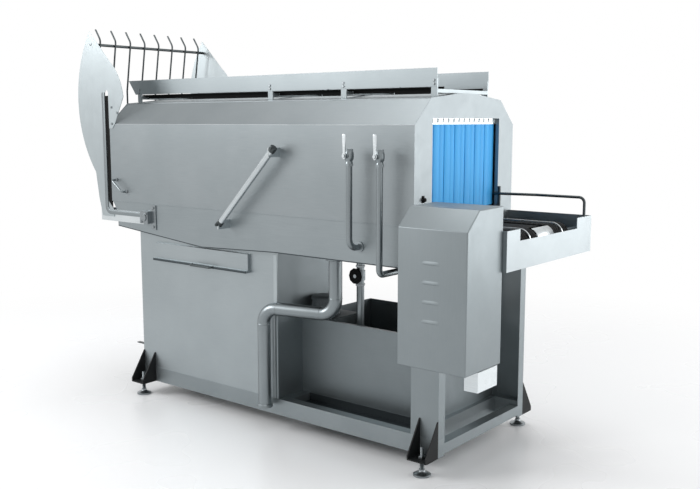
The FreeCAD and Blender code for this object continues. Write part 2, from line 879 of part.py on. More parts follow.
def make_end_frames():
    inner = rectangle("0 - opening_half + gauge", "opening_half - gauge",
                      "opening_low + gauge", "opening_top - gauge")
    infeed = new_body("infeed_end_frame")
    plate = [("0 - tunnel_half", "trough_base"), ("tunnel_half", "trough_base")] + shell_top()
    pad(infeed, "x", [plate, inner], "shell_right", "tunnel_right")
    lip = rectangle("0 - opening_half", "opening_half", "opening_low", "opening_top")
    pad(infeed, "x", [lip, inner], "shell_right - opening_lip", "shell_right")
    add_node(infeed, "infeed_end_frame")

    low = "seam_height - corner_cut_height"
    outfeed = new_body("outfeed_end_frame")
    arch = [
        ("0 - tunnel_half", "seam_height"), ("0 - opening_half + gauge", "seam_height"),
        ("0 - opening_half + gauge", "opening_top - gauge"),
        ("opening_half - gauge", "opening_top - gauge"),
        ("opening_half - gauge", "seam_height"), ("tunnel_half", "seam_height"),
    ]
    pad(outfeed, "x", [arch + shell_top()], "tunnel_left", "shell_left")
    lip = [
        ("0 - opening_half", low), ("0 - opening_half + gauge", low),
        ("0 - opening_half + gauge", "opening_top - gauge"),
        ("opening_half - gauge", "opening_top - gauge"), ("opening_half - gauge", low),
        ("opening_half", low), ("opening_half", "opening_top"),
        ("0 - opening_half", "opening_top"),
    ]
    pad(outfeed, "x", [lip], "shell_left", "shell_left + opening_lip")
    add_node(outfeed, "outfeed_end_frame")


# Strip curtains: folds of overlapping strips behind a flat rail at both openings.

def curtain_outline(face):
    count = 12
    half = "(opening_half - gauge - curtain_wave)"
    front = []
    for step in range(count + 1):
        across = "0 - %s + %d * 2 * %s / %d" % (half, step, half, count)
        along = face if step % 2 == 0 else "%s - curtain_wave" % face
        front.append((along, across))
    back = [("%s - curtain_thick" % along, across) for along, across in reversed(front)]
    return front + back


def make_curtains():
    infeed = "shell_right - opening_lip - rail_thick"
    outfeed = "shell_left + opening_lip + rail_thick + curtain_wave + curtain_thick"
    body = new_body("strip_curtains")
    pad(body, "z", [curtain_outline(infeed)], "curtain_low", "opening_top")
    pad(body, "z", [curtain_outline(outfeed)], "curtain_low", "opening_top")
    add_node(body, "strip_curtains")
    rails = []
    for place, low in (("infeed", infeed), ("outfeed", "shell_left + opening_lip")):
        rails.append(box("rail_" + place, (low, "%s + rail_thick" % low),
                         ("0 - opening_half", "opening_half"),
                         ("opening_top - rail_height", "opening_top")))
    gather("curtain_rails", rails)


# Conveyor: two tracks of paired bands around end rollers, with a bright guide strip between.

def make_belts():
    right = "belt_infeed - belt_height / 2"
    left = "0 - belt_outfeed + belt_height / 2"
    outer = [
        (left, "belt_bottom"), (right, "belt_bottom"), ("arc", "belt_infeed", "roller_height"),
        (right, "deck_height"), (left, "deck_height"),
        ("arc", "0 - belt_outfeed", "roller_height"),
    ]
    inner = [
        (left, "belt_bottom + belt_thick"), (right, "belt_bottom + belt_thick"),
        ("arc", "belt_infeed - belt_thick", "roller_height"),
        (right, "bed_top"), (left, "bed_top"),
        ("arc", "0 - belt_outfeed + belt_thick", "roller_height"),
    ]
    body = new_body("conveyor_belts")
    features = []
    for low in ("track_middle - band_gap / 2 - band_width", "track_middle + band_gap / 2"):
        features.append(pad(body, "y", [outer, inner], low, "%s + band_width" % low))
    mirror(body, features)
    add_node(body, "conveyor_belts")

    shafts = new_body("conveyor_shafts")
    low = "track_middle - band_gap / 2 - band_width"
    high = "track_middle + band_gap / 2 + band_width"
    for place, reach in ((right, "tray_half"), (left, "wall_out")):
        shaft = ("circle", place, "roller_height", "shaft_radius")
        pad(shafts, "y", [shaft], "0 - (%s)" % reach, reach)
        roller = ("circle", place, "roller_height", "roller_radius - seat_gap")
        pad(shafts, "y", [roller], low, high)
        pad(shafts, "y", [roller], "0 - (%s)" % high, "0 - (%s)" % low)
    drive = ("circle", "0 - bearing_plate_left - bearing_block_length / 2", "drive_height",
             "drive_radius")
    pad(shafts, "y", [drive], "0 - wall_in", "wall_in")
    add_node(shafts, "conveyor_shafts")


# Belt bed on cross bars, a folded deck between the tracks, guide strips round the infeed nose.

def make_bed():
    span = "(sump_x - tunnel_left)"
    places = {
        "outfeed": ("tunnel_left + %s / 8" % span, "wall_in"),
        "sump": ("sump_x", "wall_in"),
        "middle": ("0 - trough_flat_end + sill_width", "wall_in"),
        "post": ("0 - post_length * 2", "wall_in"),
        "tray": ("tunnel_right + tray_length / 2", "tray_half"),
    }
    bars = []
    for place, (middle, reach) in places.items():
        bars.append(box("crossbar_" + place,
                        ("%s - crossbar_length / 2" % middle, "%s + crossbar_length / 2" % middle),
                        ("0 - (%s)" % reach, reach), ("crossbar_low", "bed_low")))
    gather("bed_crossbars", bars)
    bed_span = ("tunnel_left + opening_lip", "belt_infeed - belt_height - run_gap")
    low = "track_middle - band_gap / 2 - band_width"
    high = "track_middle + band_gap / 2 + band_width"
    beds = [
        box("bed_front", bed_span, ("0 - (%s)" % high, "0 - (%s)" % low), ("bed_low", "bed_top")),
        box("bed_back", bed_span, (low, high), ("bed_low", "bed_top")),
    ]
    gather("conveyor_bed", beds)

    deck_top = "bed_top + belt_thick * 0.75"
    outline = [
        ("0 - middle_half", "bed_low"), ("0 - middle_half + gauge", "bed_low"),
        ("0 - middle_half + gauge", "%s - gauge" % deck_top),
        ("middle_half - gauge", "%s - gauge" % deck_top),
        ("middle_half - gauge", "bed_low"), ("middle_half", "bed_low"),
        ("middle_half", deck_top), ("0 - middle_half", deck_top),
    ]
    slab("middle_deck", "x", [outline], "tunnel_left + opening_lip",
         "belt_infeed - belt_height / 2 - shaft_radius - run_gap")

    nose = "belt_infeed - belt_height / 2"
    inner = "(belt_height / 2 - belt_thick)"
    reach = "(belt_height / 2 + guide_rise)"
    guide = [
        ("tunnel_left + opening_lip", "bed_top"), (nose, "bed_top"),
        ("arc", "%s + %s * 0.7071" % (nose, inner), "roller_height + %s * 0.7071" % inner),
        ("%s + %s" % (nose, inner), "roller_height"), ("%s + %s" % (nose, reach), "roller_height"),
        ("arc", "%s + %s * 0.7071" % (nose, reach), "roller_height + %s * 0.7071" % reach),
        (nose, "deck_height + guide_rise"),
        ("tunnel_left + opening_lip", "deck_height + guide_rise"),
    ]
    slab("guide_strips", "y", [guide], "track_middle - guide_strip / 2",
         "track_middle + guide_strip / 2", both_sides=True)


# Infeed tray in front of the tunnel, with a round guide bar along its far side that starts
# inside the opening, where a short upright on the end frame holds it.

def make_infeed_tray():
    slab("tray_sides", "y",
         [rectangle("tunnel_right", "tray_right - gauge", "tray_low", "tray_top")],
         "0 - tray_half - gauge", "0 - tray_half", both_sides=True)
    slab("tray_floor", "z",
         [rectangle("tunnel_right", "tray_right - gauge", "0 - tray_half", "tray_half")],
         "tray_low", "tray_low + gauge")
    outer = "tray_half + gauge"
    end = [
        ("0 - (%s)" % outer, "tray_low"), (outer, "tray_low"), (outer, "tray_top"),
        ("tray_notch_right", "tray_top"), ("tray_notch_right", "tray_top - tray_notch_depth"),
        ("0 - tray_notch", "tray_top - tray_notch_depth"), ("0 - tray_notch", "tray_top"),
        ("0 - (%s)" % outer, "tray_top"),
    ]
    slab("tray_end_plate", "x", [end], "tray_right - gauge", "tray_right")


def make_guide_bar():
    inside = "opening_half - gauge - bar_radius"
    post_x = "tunnel_right + bar_radius"
    post_y = "opening_half + bar_radius - gauge * 1.5"
    end = "tray_right - gauge / 2"
    bar = round_bar([point("shell_right - opening_lip", inside, "bar_height"),
                     point("tunnel_right + bar_swing_start", inside, "bar_height"),
                     point("tunnel_right + bar_swing_end", "bar_place", "bar_height"),
                     point(end, "bar_place", "bar_height"),
                     point(end, "bar_place", "tray_top")],
                    number("bar_radius"), number("bar_bend"))
    post = rod(point(post_x, post_y, "bar_height - bar_post_below"),
               point(post_x, post_y, "bar_height + bar_post_above"), number("bar_radius"))
    shape_node("guide_bar", bar.fuse([post]).removeSplitter())


# Return rack on the roof: side guides on posts, cross bars on the ridge and two round rails.

def make_rack():
    side = [
        ("0 - rack_left_low", "rack_low"), ("0 - rack_right", "rack_low"),
        ("0 - rack_right", "rack_top"), ("0 - rack_left_top", "rack_top"),
    ]
    slab("rack_guides", "y", [side], "0 - rack_half - gauge", "0 - rack_half", both_sides=True)
    places = {
        "left": "tunnel_left", "middle": "0 - rack_middle",
        "right_middle": "0 - (rack_middle + rack_right) / 2 - rack_post",
        "right": "0 - rack_right - rack_post",
    }
    inner = "rack_half - rack_post_thick"
    roof_slope = "ridge_rise / (eave_half - ridge_half)"
    foot = "eave_height + gauge + (eave_half - (%s)) * %s + seat_gap" % (inner, roof_slope)
    parts = []
    for place, low in places.items():
        span = (low, "%s + rack_post" % low)
        parts.append(box("rack_bar_" + place, span, ("0 - rack_half", "rack_half"),
                         ("rack_bar_low", "rack_bar_top")))
        for side_name, edge in (("front", ("0 - rack_half", "0 - (%s)" % inner)),
                                ("back", (inner, "rack_half"))):
            parts.append(box("rack_post_%s_%s" % (place, side_name), span, edge,
                             (foot, "rack_low + rack_post_rise")))
    fuse("rack_frame", parts)
    height = "(rack_bar_top + rack_low) / 2"
    rails = []
    for side_name, across in (("front", "0 - rail_place"), ("back", "rail_place")):
        rail = rod(point("0 - rack_left_low", across, height),
                   point("0 - rack_right", across, height),
                   number("(rack_low - rack_bar_top) / 2"))
        rails.append(rail)
    shape_node("rack_rails", Part.makeCompound(rails))


# Turning end: two crescent plates with a slot backed by a black liner strip, and rods that
# guide a crate up and over onto the rack.

def make_crescents():
    drop = "(crescent_middle_height - crescent_low_height)"
    rise = "(crescent_tip_height - crescent_middle_height)"
    square = "crescent_radius * crescent_radius"
    low_x = "0 - crescent_middle - sqrt(%s - %s * %s)" % (square, drop, drop)
    tip_x = "0 - crescent_middle - sqrt(%s - %s * %s)" % (square, rise, rise)
    slot_left = "tunnel_left - slot_width"
    outline = [
        (tip_x, "crescent_tip_height"),
        ("arc", "0 - crescent_middle - crescent_radius", "crescent_middle_height"),
        (low_x, "crescent_low_height"),
        ("0 - crescent_left", "seam_height + slot_width / 2"),
        ("0 - crescent_foot", "outfeed_low + lap"),
        ("shell_left + corner_cut - slot_width", "outfeed_low + lap"),
        ("shell_left + corner_cut - slot_width", "outfeed_top"),
        (slot_left, "seam_height"), (slot_left, "slot_top - slot_width / 2"),
        ("arc", "tunnel_left - slot_width / 2", "slot_top"),
        ("tunnel_left", "slot_top - slot_width / 2"),
        ("tunnel_left", "fold_height - crescent_lap"),
        ("shell_left + crescent_lap", "fold_height - crescent_lap"),
        ("shell_left + crescent_lap * 2", "fold_height"),
        ("0 - crescent_cusp", "crescent_cusp_height"),
        ("arc", "0 - crescent_horn_middle", "crescent_horn_middle_height"),
        ("0 - crescent_horn", "crescent_horn_height"),
    ]
    slab("crescent_plates", "y", [outline], "0 - tunnel_half - gauge", "0 - tunnel_half",
         both_sides=True)
    strip = rectangle("tunnel_left - slot_width - liner_reach", "tunnel_left",
                      "roller_height + shaft_radius + run_gap", "slot_top - slot_width")
    slab("chute_liners", "y", [strip], "0 - tunnel_half", "0 - tunnel_half + liner_thick",
         both_sides=True)


def make_turning_rods():
    count = 8
    pieces = []
    for step in range(count):
        across = "rod_pitch * %s" % (step - (count - 1) / 2)
        pieces.append(round_bar([point("0 - rod_place", across, "rod_low"),
                                 point("0 - rod_place", across, "rod_bend_height"),
                                 point("0 - rod_neck", across, "rod_neck_height"),
                                 point("0 - rod_tip", across, "rod_top")],
                                number("rod_radius"), number("rod_bend")))
    shape_node("turning_rods", Part.makeCompound(pieces))
    bars = []
    for place, height in (("rod_bar_low_x", "rod_bar_low_height"),
                          ("rod_bar_top_x", "rod_bar_top_height")):
        bars.append(rod(point(place, "0 - tunnel_half", height),
                        point(place, "tunnel_half", height), number("rod_bar_radius")))
    shape_node("rod_crossbars", Part.makeCompound(bars))


def make_outfeed():
    slab("outfeed_side_plates", "y",
         [rectangle("0 - outfeed_end", "0 - outfeed_side_right", "outfeed_low", "outfeed_top")],
         "0 - tunnel_half", "0 - wall_out", both_sides=True)
    start = "shell_left + corner_cut"
    base = "sump_height + left_slope * (sump_x - shell_left - corner_cut)"
    end = "0 - outfeed_end"
    profile = [
        (start, base), (start, "outfeed_low + gauge"), ("%s + gauge" % end, "outfeed_low + gauge"),
        ("%s + gauge" % end, "outfeed_lip_top"), (end, "outfeed_lip_top"), (end, "outfeed_low"),
        ("%s - gauge" % start, "outfeed_low"), ("%s - gauge" % start, base),
    ]
    slab("outfeed_floor", "y", [profile], "0 - wall_out", "wall_out")

    body = new_body("drive_bearing")
    wall = "0 - wall_out"
    plate = rectangle("0 - bearing_plate_left", "0 - bearing_plate_left + bearing_plate_width",
                      "bearing_plate_low", "bearing_plate_top")
    pad(body, "y", [plate], "%s - bracket_plate" % wall, wall)
    left = "0 - bearing_plate_left - bearing_block_length"
    block = rectangle(left, "0 - bearing_plate_left", "drive_height - bearing_block_half",
                      "drive_height + bearing_block_half")
    pad(body, "y", [block], "%s - bearing_block_reach" % wall, wall)
    add_node(body, "drive_bearing")


# Supply pipes with ball valves and levers on the operator's side, and the drain pipe.

def make_supply():
    radius = number("supply_radius")
    bend = number("supply_bend")
    top = "supply_top"
    left = round_bar([point("0 - supply_left_x", "0 - supply_y", top),
                      point("0 - supply_left_x", "0 - supply_y", "supply_left_low"),
                      point("0 - supply_left_x", "0 - wall_out", "supply_left_low")], radius, bend)
    right = round_bar([point("0 - supply_right_x", "0 - supply_y", top),
                       point("0 - supply_right_x", "0 - supply_y", "supply_right_low"),
                       point("0 - supply_right_x", "0 - supply_right_end", "supply_right_low"),
                       point("0 - supply_right_x", "0 - supply_right_end", "trough_base")],
                      radius, number("supply_floor_bend"))
    solids = []
    for pipe, place in ((left, "0 - supply_left_x"), (right, "0 - supply_right_x")):
        valve = rod(point(place, "0 - supply_y", top),
                    point(place, "0 - supply_y", "supply_top + ball_valve_height"),
                    number("ball_valve_radius"))
        stem = pin(point(place, "0 - supply_y", "lever_height"),
                   point(place, "0 - supply_y - lever_reach - lever_thick", "lever_height"),
                   number("stem_radius"))
        solids.append(pipe.fuse([valve, stem]).removeSplitter())
    shape_node("supply_pipes", Part.makeCompound(solids))
    for name, place in (("supply_lever_left", "0 - supply_left_x"),
                        ("supply_lever_right", "0 - supply_right_x")):
        plate = rectangle("%s - lever_width / 2" % place, "%s + lever_width / 2" % place,
                          "lever_height - lever_width / 2 - lever_tail / 2",
                          "lever_height - lever_width / 2 + lever_length")
        bore = ("circle", place, "lever_height", "stem_radius + pin_gap")
        slab(name, "y", [plate, bore], "0 - supply_y - lever_reach - lever_thick",
             "0 - supply_y - lever_reach")


def make_drain():
    pipe = round_bar([point("0 - drain_x", "0 - drain_y", "trough_base"),
                      point("0 - drain_x", "0 - drain_y", "drain_run_height"),
                      point("0 - drain_drop_x", "0 - drain_drop_y", "drain_run_height"),
                      point("0 - drain_drop_x", "0 - drain_drop_y", "drain_low")],
                     number("drain_radius"), number("drain_bend"), 20)
    shape_node("drain_pipe", pipe)

    face = "0 - base_length"
    body = new_body("drain_cock")
    barrel = ("circle", "0 - drain_cock_y", "drain_cock_height", "drain_cock_radius")
    pad(body, "x", [barrel], "%s - drain_cock_length" % face, face)
    stem = ("circle", "%s - drain_stem_place" % face, "0 - drain_cock_y", "stem_radius")
    lever_low = "drain_cock_height + drain_cock_radius + run_gap"
    pad(body, "z", [stem], "drain_cock_height", "%s + lever_thick" % lever_low)
    add_node(body, "drain_cock")
    right = "%s - drain_stem_place + lever_width / 2 + lever_tail / 2" % face
    plate = rectangle("%s - drain_lever_length" % right, right,
                      "0 - drain_cock_y - lever_width / 2", "0 - drain_cock_y + lever_width / 2")
    bore = ("circle", "%s - drain_stem_place" % face, "0 - drain_cock_y",
            "stem_radius + pin_gap")
    slab("drain_lever", "z", [plate, bore], lever_low, "%s + lever_thick" % lever_low)


# Control cabinet with a sloping top and louvres, on the infeed tray's near side.

def make_control_cabinet():
    front = "0 - control_front"
    back = "0 - control_back"
    body = new_body("control_cabinet")
    outline = [
        (front, "control_low"), (back, "control_low"), (back, "control_top"),
        ("%s + control_slope" % front, "control_top - gauge"), (front, "control_shoulder"),
    ]
    pad(body, "x", [outline], "0 - control_left", "control_right")
    for step in range(4):
        low = "louvre_low + %d * louvre_pitch" % step
        wedge = [
            (front, low), (front, "%s + louvre_height * 2" % low),
            ("%s - louvre_reach" % front, "%s + louvre_height" % low),
            ("%s - louvre_reach" % front, low),
        ]
        pad(body, "x", [wedge], "louvre_left", "louvre_left + louvre_width")
    add_node(body, "control_cabinet")
    slab("cable_duct", "z",
         [rectangle("control_right - duct_width", "control_right", "0 - duct_front",
                    "0 - duct_back")], "duct_low", "control_low")


# Stay across the seam on two brackets, and a slanting pull handle near the turning end.

def make_stay():
    out = "0 - tunnel_half - stay_reach"
    tube = rod(point("0 - stay_top_x", out, "stay_top_height"),
               point("0 - stay_low_x", out, "stay_low_height"), number("stay_radius"), 16)
    width = number("stay_plate_width")
    thick = number("stay_plate")
    pieces = [tube]
    for place, height, wall in (
            ("0 - stay_top_x - stay_plate_width / 2", "stay_top_height - stay_plate_width / 2",
             "0 - tunnel_half"),
            ("0 - stay_low_x + stay_plate", "stay_low_height", "0 - wall_out")):
        depth = number("%s - (%s) + stay_radius" % (wall, out))
        corner = point("%s - stay_plate / 2" % place, "%s - stay_radius" % out,
                       "%s - stay_plate_width / 2" % height)
        pieces.append(Part.makeBox(thick, depth, width, corner))
    shape_node("side_stay", tube.fuse(pieces[1:]).removeSplitter())


def make_pull_handle():
    face = "0 - tunnel_half"
    out = "0 - tunnel_half - pull_reach"
    right = "0 - pull_x + pull_length"
    low = "pull_height - pull_drop"
    handle = round_bar([point("0 - pull_x", face, "pull_height"),
                        point("0 - pull_x", out, "pull_height"),
                        point(right, out, low), point(right, face, low)],
                       number("pull_radius"), number("pull_radius * 2.5"))
    shape_node("pull_handle", handle)


make_base_frame()
make_right_posts()
make_foot_brackets()
make_levelling_feet()
make_cabinet()
make_drawer()
make_tank()
make_pump()
make_riser()
make_hood()
make_trough()
make_end_frames()
make_curtains()
make_belts()
make_bed()
make_infeed_tray()
make_guide_bar()
make_rack()
make_crescents()
make_turning_rods()
make_outfeed()
make_supply()
make_drain()
make_control_cabinet()
make_stay()
make_pull_handle()

doc.recompute()

for item in doc.Objects:
    for word in ("Invalid", "Error"):
        if word in item.State:
            raise RuntimeError("%s is %s" % (item.Label, word))
for item in nodes:
    if item.Shape.isNull() or not item.Shape.isValid():
        raise RuntimeError("%s has no valid shape" % item.Label)

os.makedirs("parts", exist_ok=True)
for item in nodes:
    item.Shape.exportStep("parts/%s.step" % item.Label)
    box_of = item.Shape.BoundBox
    print("%-22s %d solids  x %.0f %.0f  y %.0f %.0f  z %.0f %.0f" % (
        item.Label, len(item.Shape.Solids), box_of.XMin, box_of.XMax, box_of.YMin, box_of.YMax,
        box_of.ZMin, box_of.ZMax))
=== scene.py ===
import math

import bmesh
import bpy
import numpy as np
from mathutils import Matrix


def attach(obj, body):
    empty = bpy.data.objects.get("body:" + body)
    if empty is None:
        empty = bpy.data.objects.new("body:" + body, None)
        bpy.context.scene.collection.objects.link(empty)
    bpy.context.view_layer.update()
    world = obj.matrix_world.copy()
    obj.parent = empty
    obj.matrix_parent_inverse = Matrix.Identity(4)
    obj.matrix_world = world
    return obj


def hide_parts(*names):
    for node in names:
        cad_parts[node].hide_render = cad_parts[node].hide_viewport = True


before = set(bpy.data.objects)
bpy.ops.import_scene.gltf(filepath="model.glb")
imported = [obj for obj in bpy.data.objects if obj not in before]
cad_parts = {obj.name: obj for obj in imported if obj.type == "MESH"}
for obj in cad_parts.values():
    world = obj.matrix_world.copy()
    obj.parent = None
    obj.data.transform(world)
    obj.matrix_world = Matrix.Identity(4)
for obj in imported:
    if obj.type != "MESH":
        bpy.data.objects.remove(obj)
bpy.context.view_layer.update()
print("frame loaded:", len(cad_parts), "nodes")

# The machine is measured in millimetres from the infeed end of its base, the tunnel's middle
# plane and the floor. This offset takes those places to the row frame.
layout = {
    "middleX": 1066.5,
    "middleY": 98.0,
}


def toFrame(points):
    # millimetres on the machine to metres in the row frame
    points = np.asarray(points, dtype=float)
    return (points + np.array([layout["middleX"], layout["middleY"], 0.0])) / 1000.0


# ---- colours and nodes

def linearColour(hexText):
    # sRGB hex to linear, with the two-part curve of the sRGB standard
    channels = np.array([int(hexText[i:i + 2], 16) for i in (1, 3, 5)]) / 255.0
    low = channels / 12.92
    high = ((channels + 0.055) / 1.055) ** 2.4
    return tuple(np.where(channels <= 0.04045, low, high)) + (1.0,)


def addNode(tree, kind, settings=None, inputs=None):
    # one node with its settings; an input is a plain value or another node's output
    node = tree.nodes.new(kind)
    for name, value in (settings or {}).items():
        setattr(node, name, value)
    for name, value in (inputs or {}).items():
        if isinstance(value, bpy.types.NodeSocket):
            tree.links.new(value, node.inputs[name])
        else:
            node.inputs[name].default_value = value
    return node


def startMaterial(name):
    material = bpy.data.materials.new(name)
    material.use_nodes = True
    tree = material.node_tree
    tree.nodes.clear()
    place = addNode(tree, "ShaderNodeTexCoord").outputs["Object"]
    return material, tree, place


def endMaterial(tree, shader):
    addNode(tree, "ShaderNodeOutputMaterial", inputs={"Surface": shader.outputs["BSDF"]})


def colourRamp(tree, source, stops):
    # a ramp through hex colours, or through grey levels
    ramp = addNode(tree, "ShaderNodeValToRGB", inputs={"Fac": source})
    elements = ramp.color_ramp.elements
    while len(elements) < len(stops):
        elements.new(0.5)
    for element, (position, tone) in zip(elements, stops):
        element.position = position
        element.color = linearColour(tone) if isinstance(tone, str) else (tone, tone, tone, 1.0)
    return ramp.outputs["Color"]


brushes = {
    "grainScale": 900.0,      # brush lines about 1.1 mm apart across the grain
    "grainStretch": 0.012,    # and some 90 mm long
    "cloudScale": 3.2,        # broad cloudiness left by the rolling mill, about 300 mm
    "smearScale": 14.0,       # wiping marks, 70 mm
}


def brushedSteel(name, dark, light, along=(1, 0, 0), rough=0.38, spread=0.08, bump=0.05,
                 aniso=0.4):
    # stainless sheet with a brushed or bead-blasted face: grey with a faint warm-cool drift, lines
    # along the grain that soften the gloss across them, and a few wiping marks
    material, tree, place = startMaterial(name)
    stretch = tuple(brushes["grainStretch"] if axis else 1.0 for axis in along)
    grainPlace = addNode(tree, "ShaderNodeMapping", inputs={
        "Vector": place, "Scale": stretch}).outputs["Vector"]
    grain = addNode(tree, "ShaderNodeTexNoise", inputs={
        "Vector": grainPlace, "Scale": brushes["grainScale"], "Detail": 3.0,
        "Roughness": 0.6}).outputs["Fac"]
    cloud = addNode(tree, "ShaderNodeTexNoise", inputs={
        "Vector": place, "Scale": brushes["cloudScale"], "Detail": 2.0}).outputs["Fac"]
    smear = addNode(tree, "ShaderNodeTexNoise", inputs={
        "Vector": place, "Scale": brushes["smearScale"], "Detail": 4.0,
        "Distortion": 1.2}).outputs["Fac"]
    mixed = addNode(tree, "ShaderNodeMath", {"operation": "MULTIPLY_ADD"}, {
        0: grain, 1: 0.6, 2: addNode(tree, "ShaderNodeMath", {"operation": "MULTIPLY"}, {
            0: cloud, 1: 0.4}).outputs[0]}).outputs[0]
    colour = colourRamp(tree, mixed, [(0.25, dark), (0.75, light)])
    roughness = addNode(tree, "ShaderNodeMapRange", inputs={
        "Value": addNode(tree, "ShaderNodeMath", {"operation": "MULTIPLY_ADD"}, {
            0: grain, 1: 0.75, 2: addNode(tree, "ShaderNodeMath", {"operation": "MULTIPLY"}, {
                0: smear, 1: 0.25}).outputs[0]}).outputs[0],
        "From Min": 0.3, "From Max": 0.7,
        "To Min": rough - spread, "To Max": rough + spread}).outputs["Result"]
    relief = addNode(tree, "ShaderNodeBump", inputs={
        "Height": grain, "Strength": bump, "Distance": 0.0004}).outputs["Normal"]
    shader = addNode(tree, "ShaderNodeBsdfPrincipled", inputs={
        "Base Color": colour, "Metallic": 1.0, "Roughness": roughness, "Normal": relief,
        "Anisotropic": aniso})
    endMaterial(tree, shader)
    return material


def polishedSteel(name, dark, light, rough=0.2):
    # drawn and polished stainless bar or tube: brighter than the sheet, with faint draw lines
    return brushedSteel(name, dark, light, rough=rough, spread=0.05, bump=0.02, aniso=0.0)


def paintedSteel(name, dark, light, rough):
    # powder-coated steel: an even colour with a fine orange-peel skin
    material, tree, place = startMaterial(name)
    peel = addNode(tree, "ShaderNodeTexNoise", inputs={
        "Vector": place, "Scale": 700.0, "Detail": 2.0}).outputs["Fac"]
    dust = addNode(tree, "ShaderNodeTexNoise", inputs={
        "Vector": place, "Scale": 18.0, "Detail": 4.0}).outputs["Fac"]
    colour = colourRamp(tree, dust, [(0.35, dark), (0.7, light)])
    roughness = addNode(tree, "ShaderNodeMapRange", inputs={
        "Value": dust, "From Min": 0.3, "From Max": 0.7,
        "To Min": rough - 0.06, "To Max": rough + 0.1}).outputs["Result"]
    relief = addNode(tree, "ShaderNodeBump", inputs={
        "Height": peel, "Strength": 0.15, "Distance": 0.0003}).outputs["Normal"]
    shader = addNode(tree, "ShaderNodeBsdfPrincipled", inputs={
        "Base Color": colour, "Roughness": roughness, "Normal": relief,
        "Specular IOR Level": 0.25})
    endMaterial(tree, shader)
    return material


def beltPlastic(name, dark, light):
    # moulded acetal belt: near black, matt, with a fine moulded grain and scuffs from crates
    material, tree, place = startMaterial(name)
    grain = addNode(tree, "ShaderNodeTexNoise", inputs={
        "Vector": place, "Scale": 420.0, "Detail": 3.0}).outputs["Fac"]
    scuffPlace = addNode(tree, "ShaderNodeMapping", inputs={
        "Vector": place, "Scale": (0.15, 1.0, 1.0)}).outputs["Vector"]
    scuff = addNode(tree, "ShaderNodeTexNoise", inputs={
        "Vector": scuffPlace, "Scale": 60.0, "Detail": 5.0}).outputs["Fac"]
    colour = colourRamp(tree, scuff, [(0.4, dark), (0.75, light)])
    relief = addNode(tree, "ShaderNodeBump", inputs={
        "Height": grain, "Strength": 0.2, "Distance": 0.0004}).outputs["Normal"]
    roughness = addNode(tree, "ShaderNodeMapRange", inputs={
        "Value": scuff, "To Min": 0.6, "To Max": 0.85}).outputs["Result"]
    shader = addNode(tree, "ShaderNodeBsdfPrincipled", inputs={
        "Base Color": colour, "Roughness": roughness, "Normal": relief,
        "Specular IOR Level": 0.15})
    endMaterial(tree, shader)
    return material


def stripVinyl(name, dark, light):
    # soft vinyl strip, coloured in the mass: a mild gloss over an even sky blue
    material, tree, place = startMaterial(name)
    stretched = addNode(tree, "ShaderNodeMapping", inputs={
        "Vector": place, "Scale": (1.0, 1.0, 0.08)}).outputs["Vector"]
    ripple = addNode(tree, "ShaderNodeTexNoise", inputs={
        "Vector": stretched, "Scale": 40.0, "Detail": 2.0}).outputs["Fac"]
    colour = colourRamp(tree, ripple, [(0.3, dark), (0.7, light)])
    relief = addNode(tree, "ShaderNodeBump", inputs={
        "Height": ripple, "Strength": 0.08, "Distance": 0.001}).outputs["Normal"]
    roughness = addNode(tree, "ShaderNodeMapRange", inputs={
        "Value": ripple, "To Min": 0.45, "To Max": 0.6}).outputs["Result"]
    shader = addNode(tree, "ShaderNodeBsdfPrincipled", inputs={
        "Base Color": colour, "Roughness": roughness, "Normal": relief,
        "Specular IOR Level": 0.3})
    endMaterial(tree, shader)
    return material


steelAlong = brushedSteel("brushedStainlessPanel", "#868E91", "#989FA2", rough=0.42)
steelHood = brushedSteel("brushedStainlessHood", "#878F92", "#999FA2", rough=0.42)
steelAcross = brushedSteel("brushedStainlessEnd", "#9BA2A5", "#AAB1B4", along=(0, 0, 1), rough=0.5,
                           aniso=0.2)
steelPortal = brushedSteel("brushedStainlessPortal", "#858C8F", "#939A9D", along=(0, 0, 1),
                           rough=0.5, aniso=0.2)
steelPanel = brushedSteel("brushedStainlessDoor", "#949C9F", "#A6ADB0", rough=0.42)
steelUpright = brushedSteel("brushedStainlessPost", "#868E91", "#989FA2", along=(0, 0, 1),
                            bump=0.03)
steelCabinet = brushedSteel("brushedStainlessBox", "#7E8689", "#8E9598", along=(0, 0, 1),
                            rough=0.48, aniso=0.2)
steelBase = brushedSteel("brushedStainlessFrame", "#848C8F", "#989FA2", rough=0.5)
# a darker copy of the brushed stainless for the wash tank and the cabinet's side sheets: its
# darkness is painted shade of the recessed bay they stand in
steelBayShade = brushedSteel("brushedStainlessBayShade", "#747C7F", "#848B8E", rough=0.48)
# a dark grey stainless for floors, beds, runners and covers, also used as painted shadow lines
# along the trough's lower edges
steelDark = brushedSteel("darkStainlessAndPaintedShade", "#3F4548", "#50575A", rough=0.55, bump=0.03)
steelBright = polishedSteel("polishedStainlessTube", "#AEB5B8", "#CDD3D5")
steelPipe = polishedSteel("drawnStainlessPipe", "#767D80", "#92999C", rough=0.36)
steelRod = polishedSteel("drawnStainlessRod", "#3C4143", "#535859", rough=0.38)
steelTrim = polishedSteel("polishedStainlessEdge", "#BCC3C6", "#D6DBDD", rough=0.3)
steelCorner = brushedSteel("brushedStainlessPlate", "#A3ABAE", "#B0B8BB", along=(0, 0, 1))
turnedSteel = polishedSteel("turnedStainless", "#7A8083", "#9FA5A8", rough=0.3)
blackPaint = paintedSteel("blackPowderCoat", "#151718", "#1E2021", rough=0.6)
greyPaint = paintedSteel("greyMachineEnamel", "#474D50", "#575E61", rough=0.45)
blackPlastic = beltPlastic("mouldedBlackAcetal", "#0A0B0C", "#151719")
wheelPlastic = beltPlastic("blackPhenolic", "#0D0E0E", "#191A1B")
# black plastic on the belt's recipe, used for the middle deck, and as painted shade in the chute
# liners and on the rack's cross bars
blackLinerAndShade = beltPlastic("blackPolyethyleneAndPaintedShade", "#070808", "#0F1010")
blueVinyl = stripVinyl("blueStripVinyl", "#38A8EE", "#43B2F5")

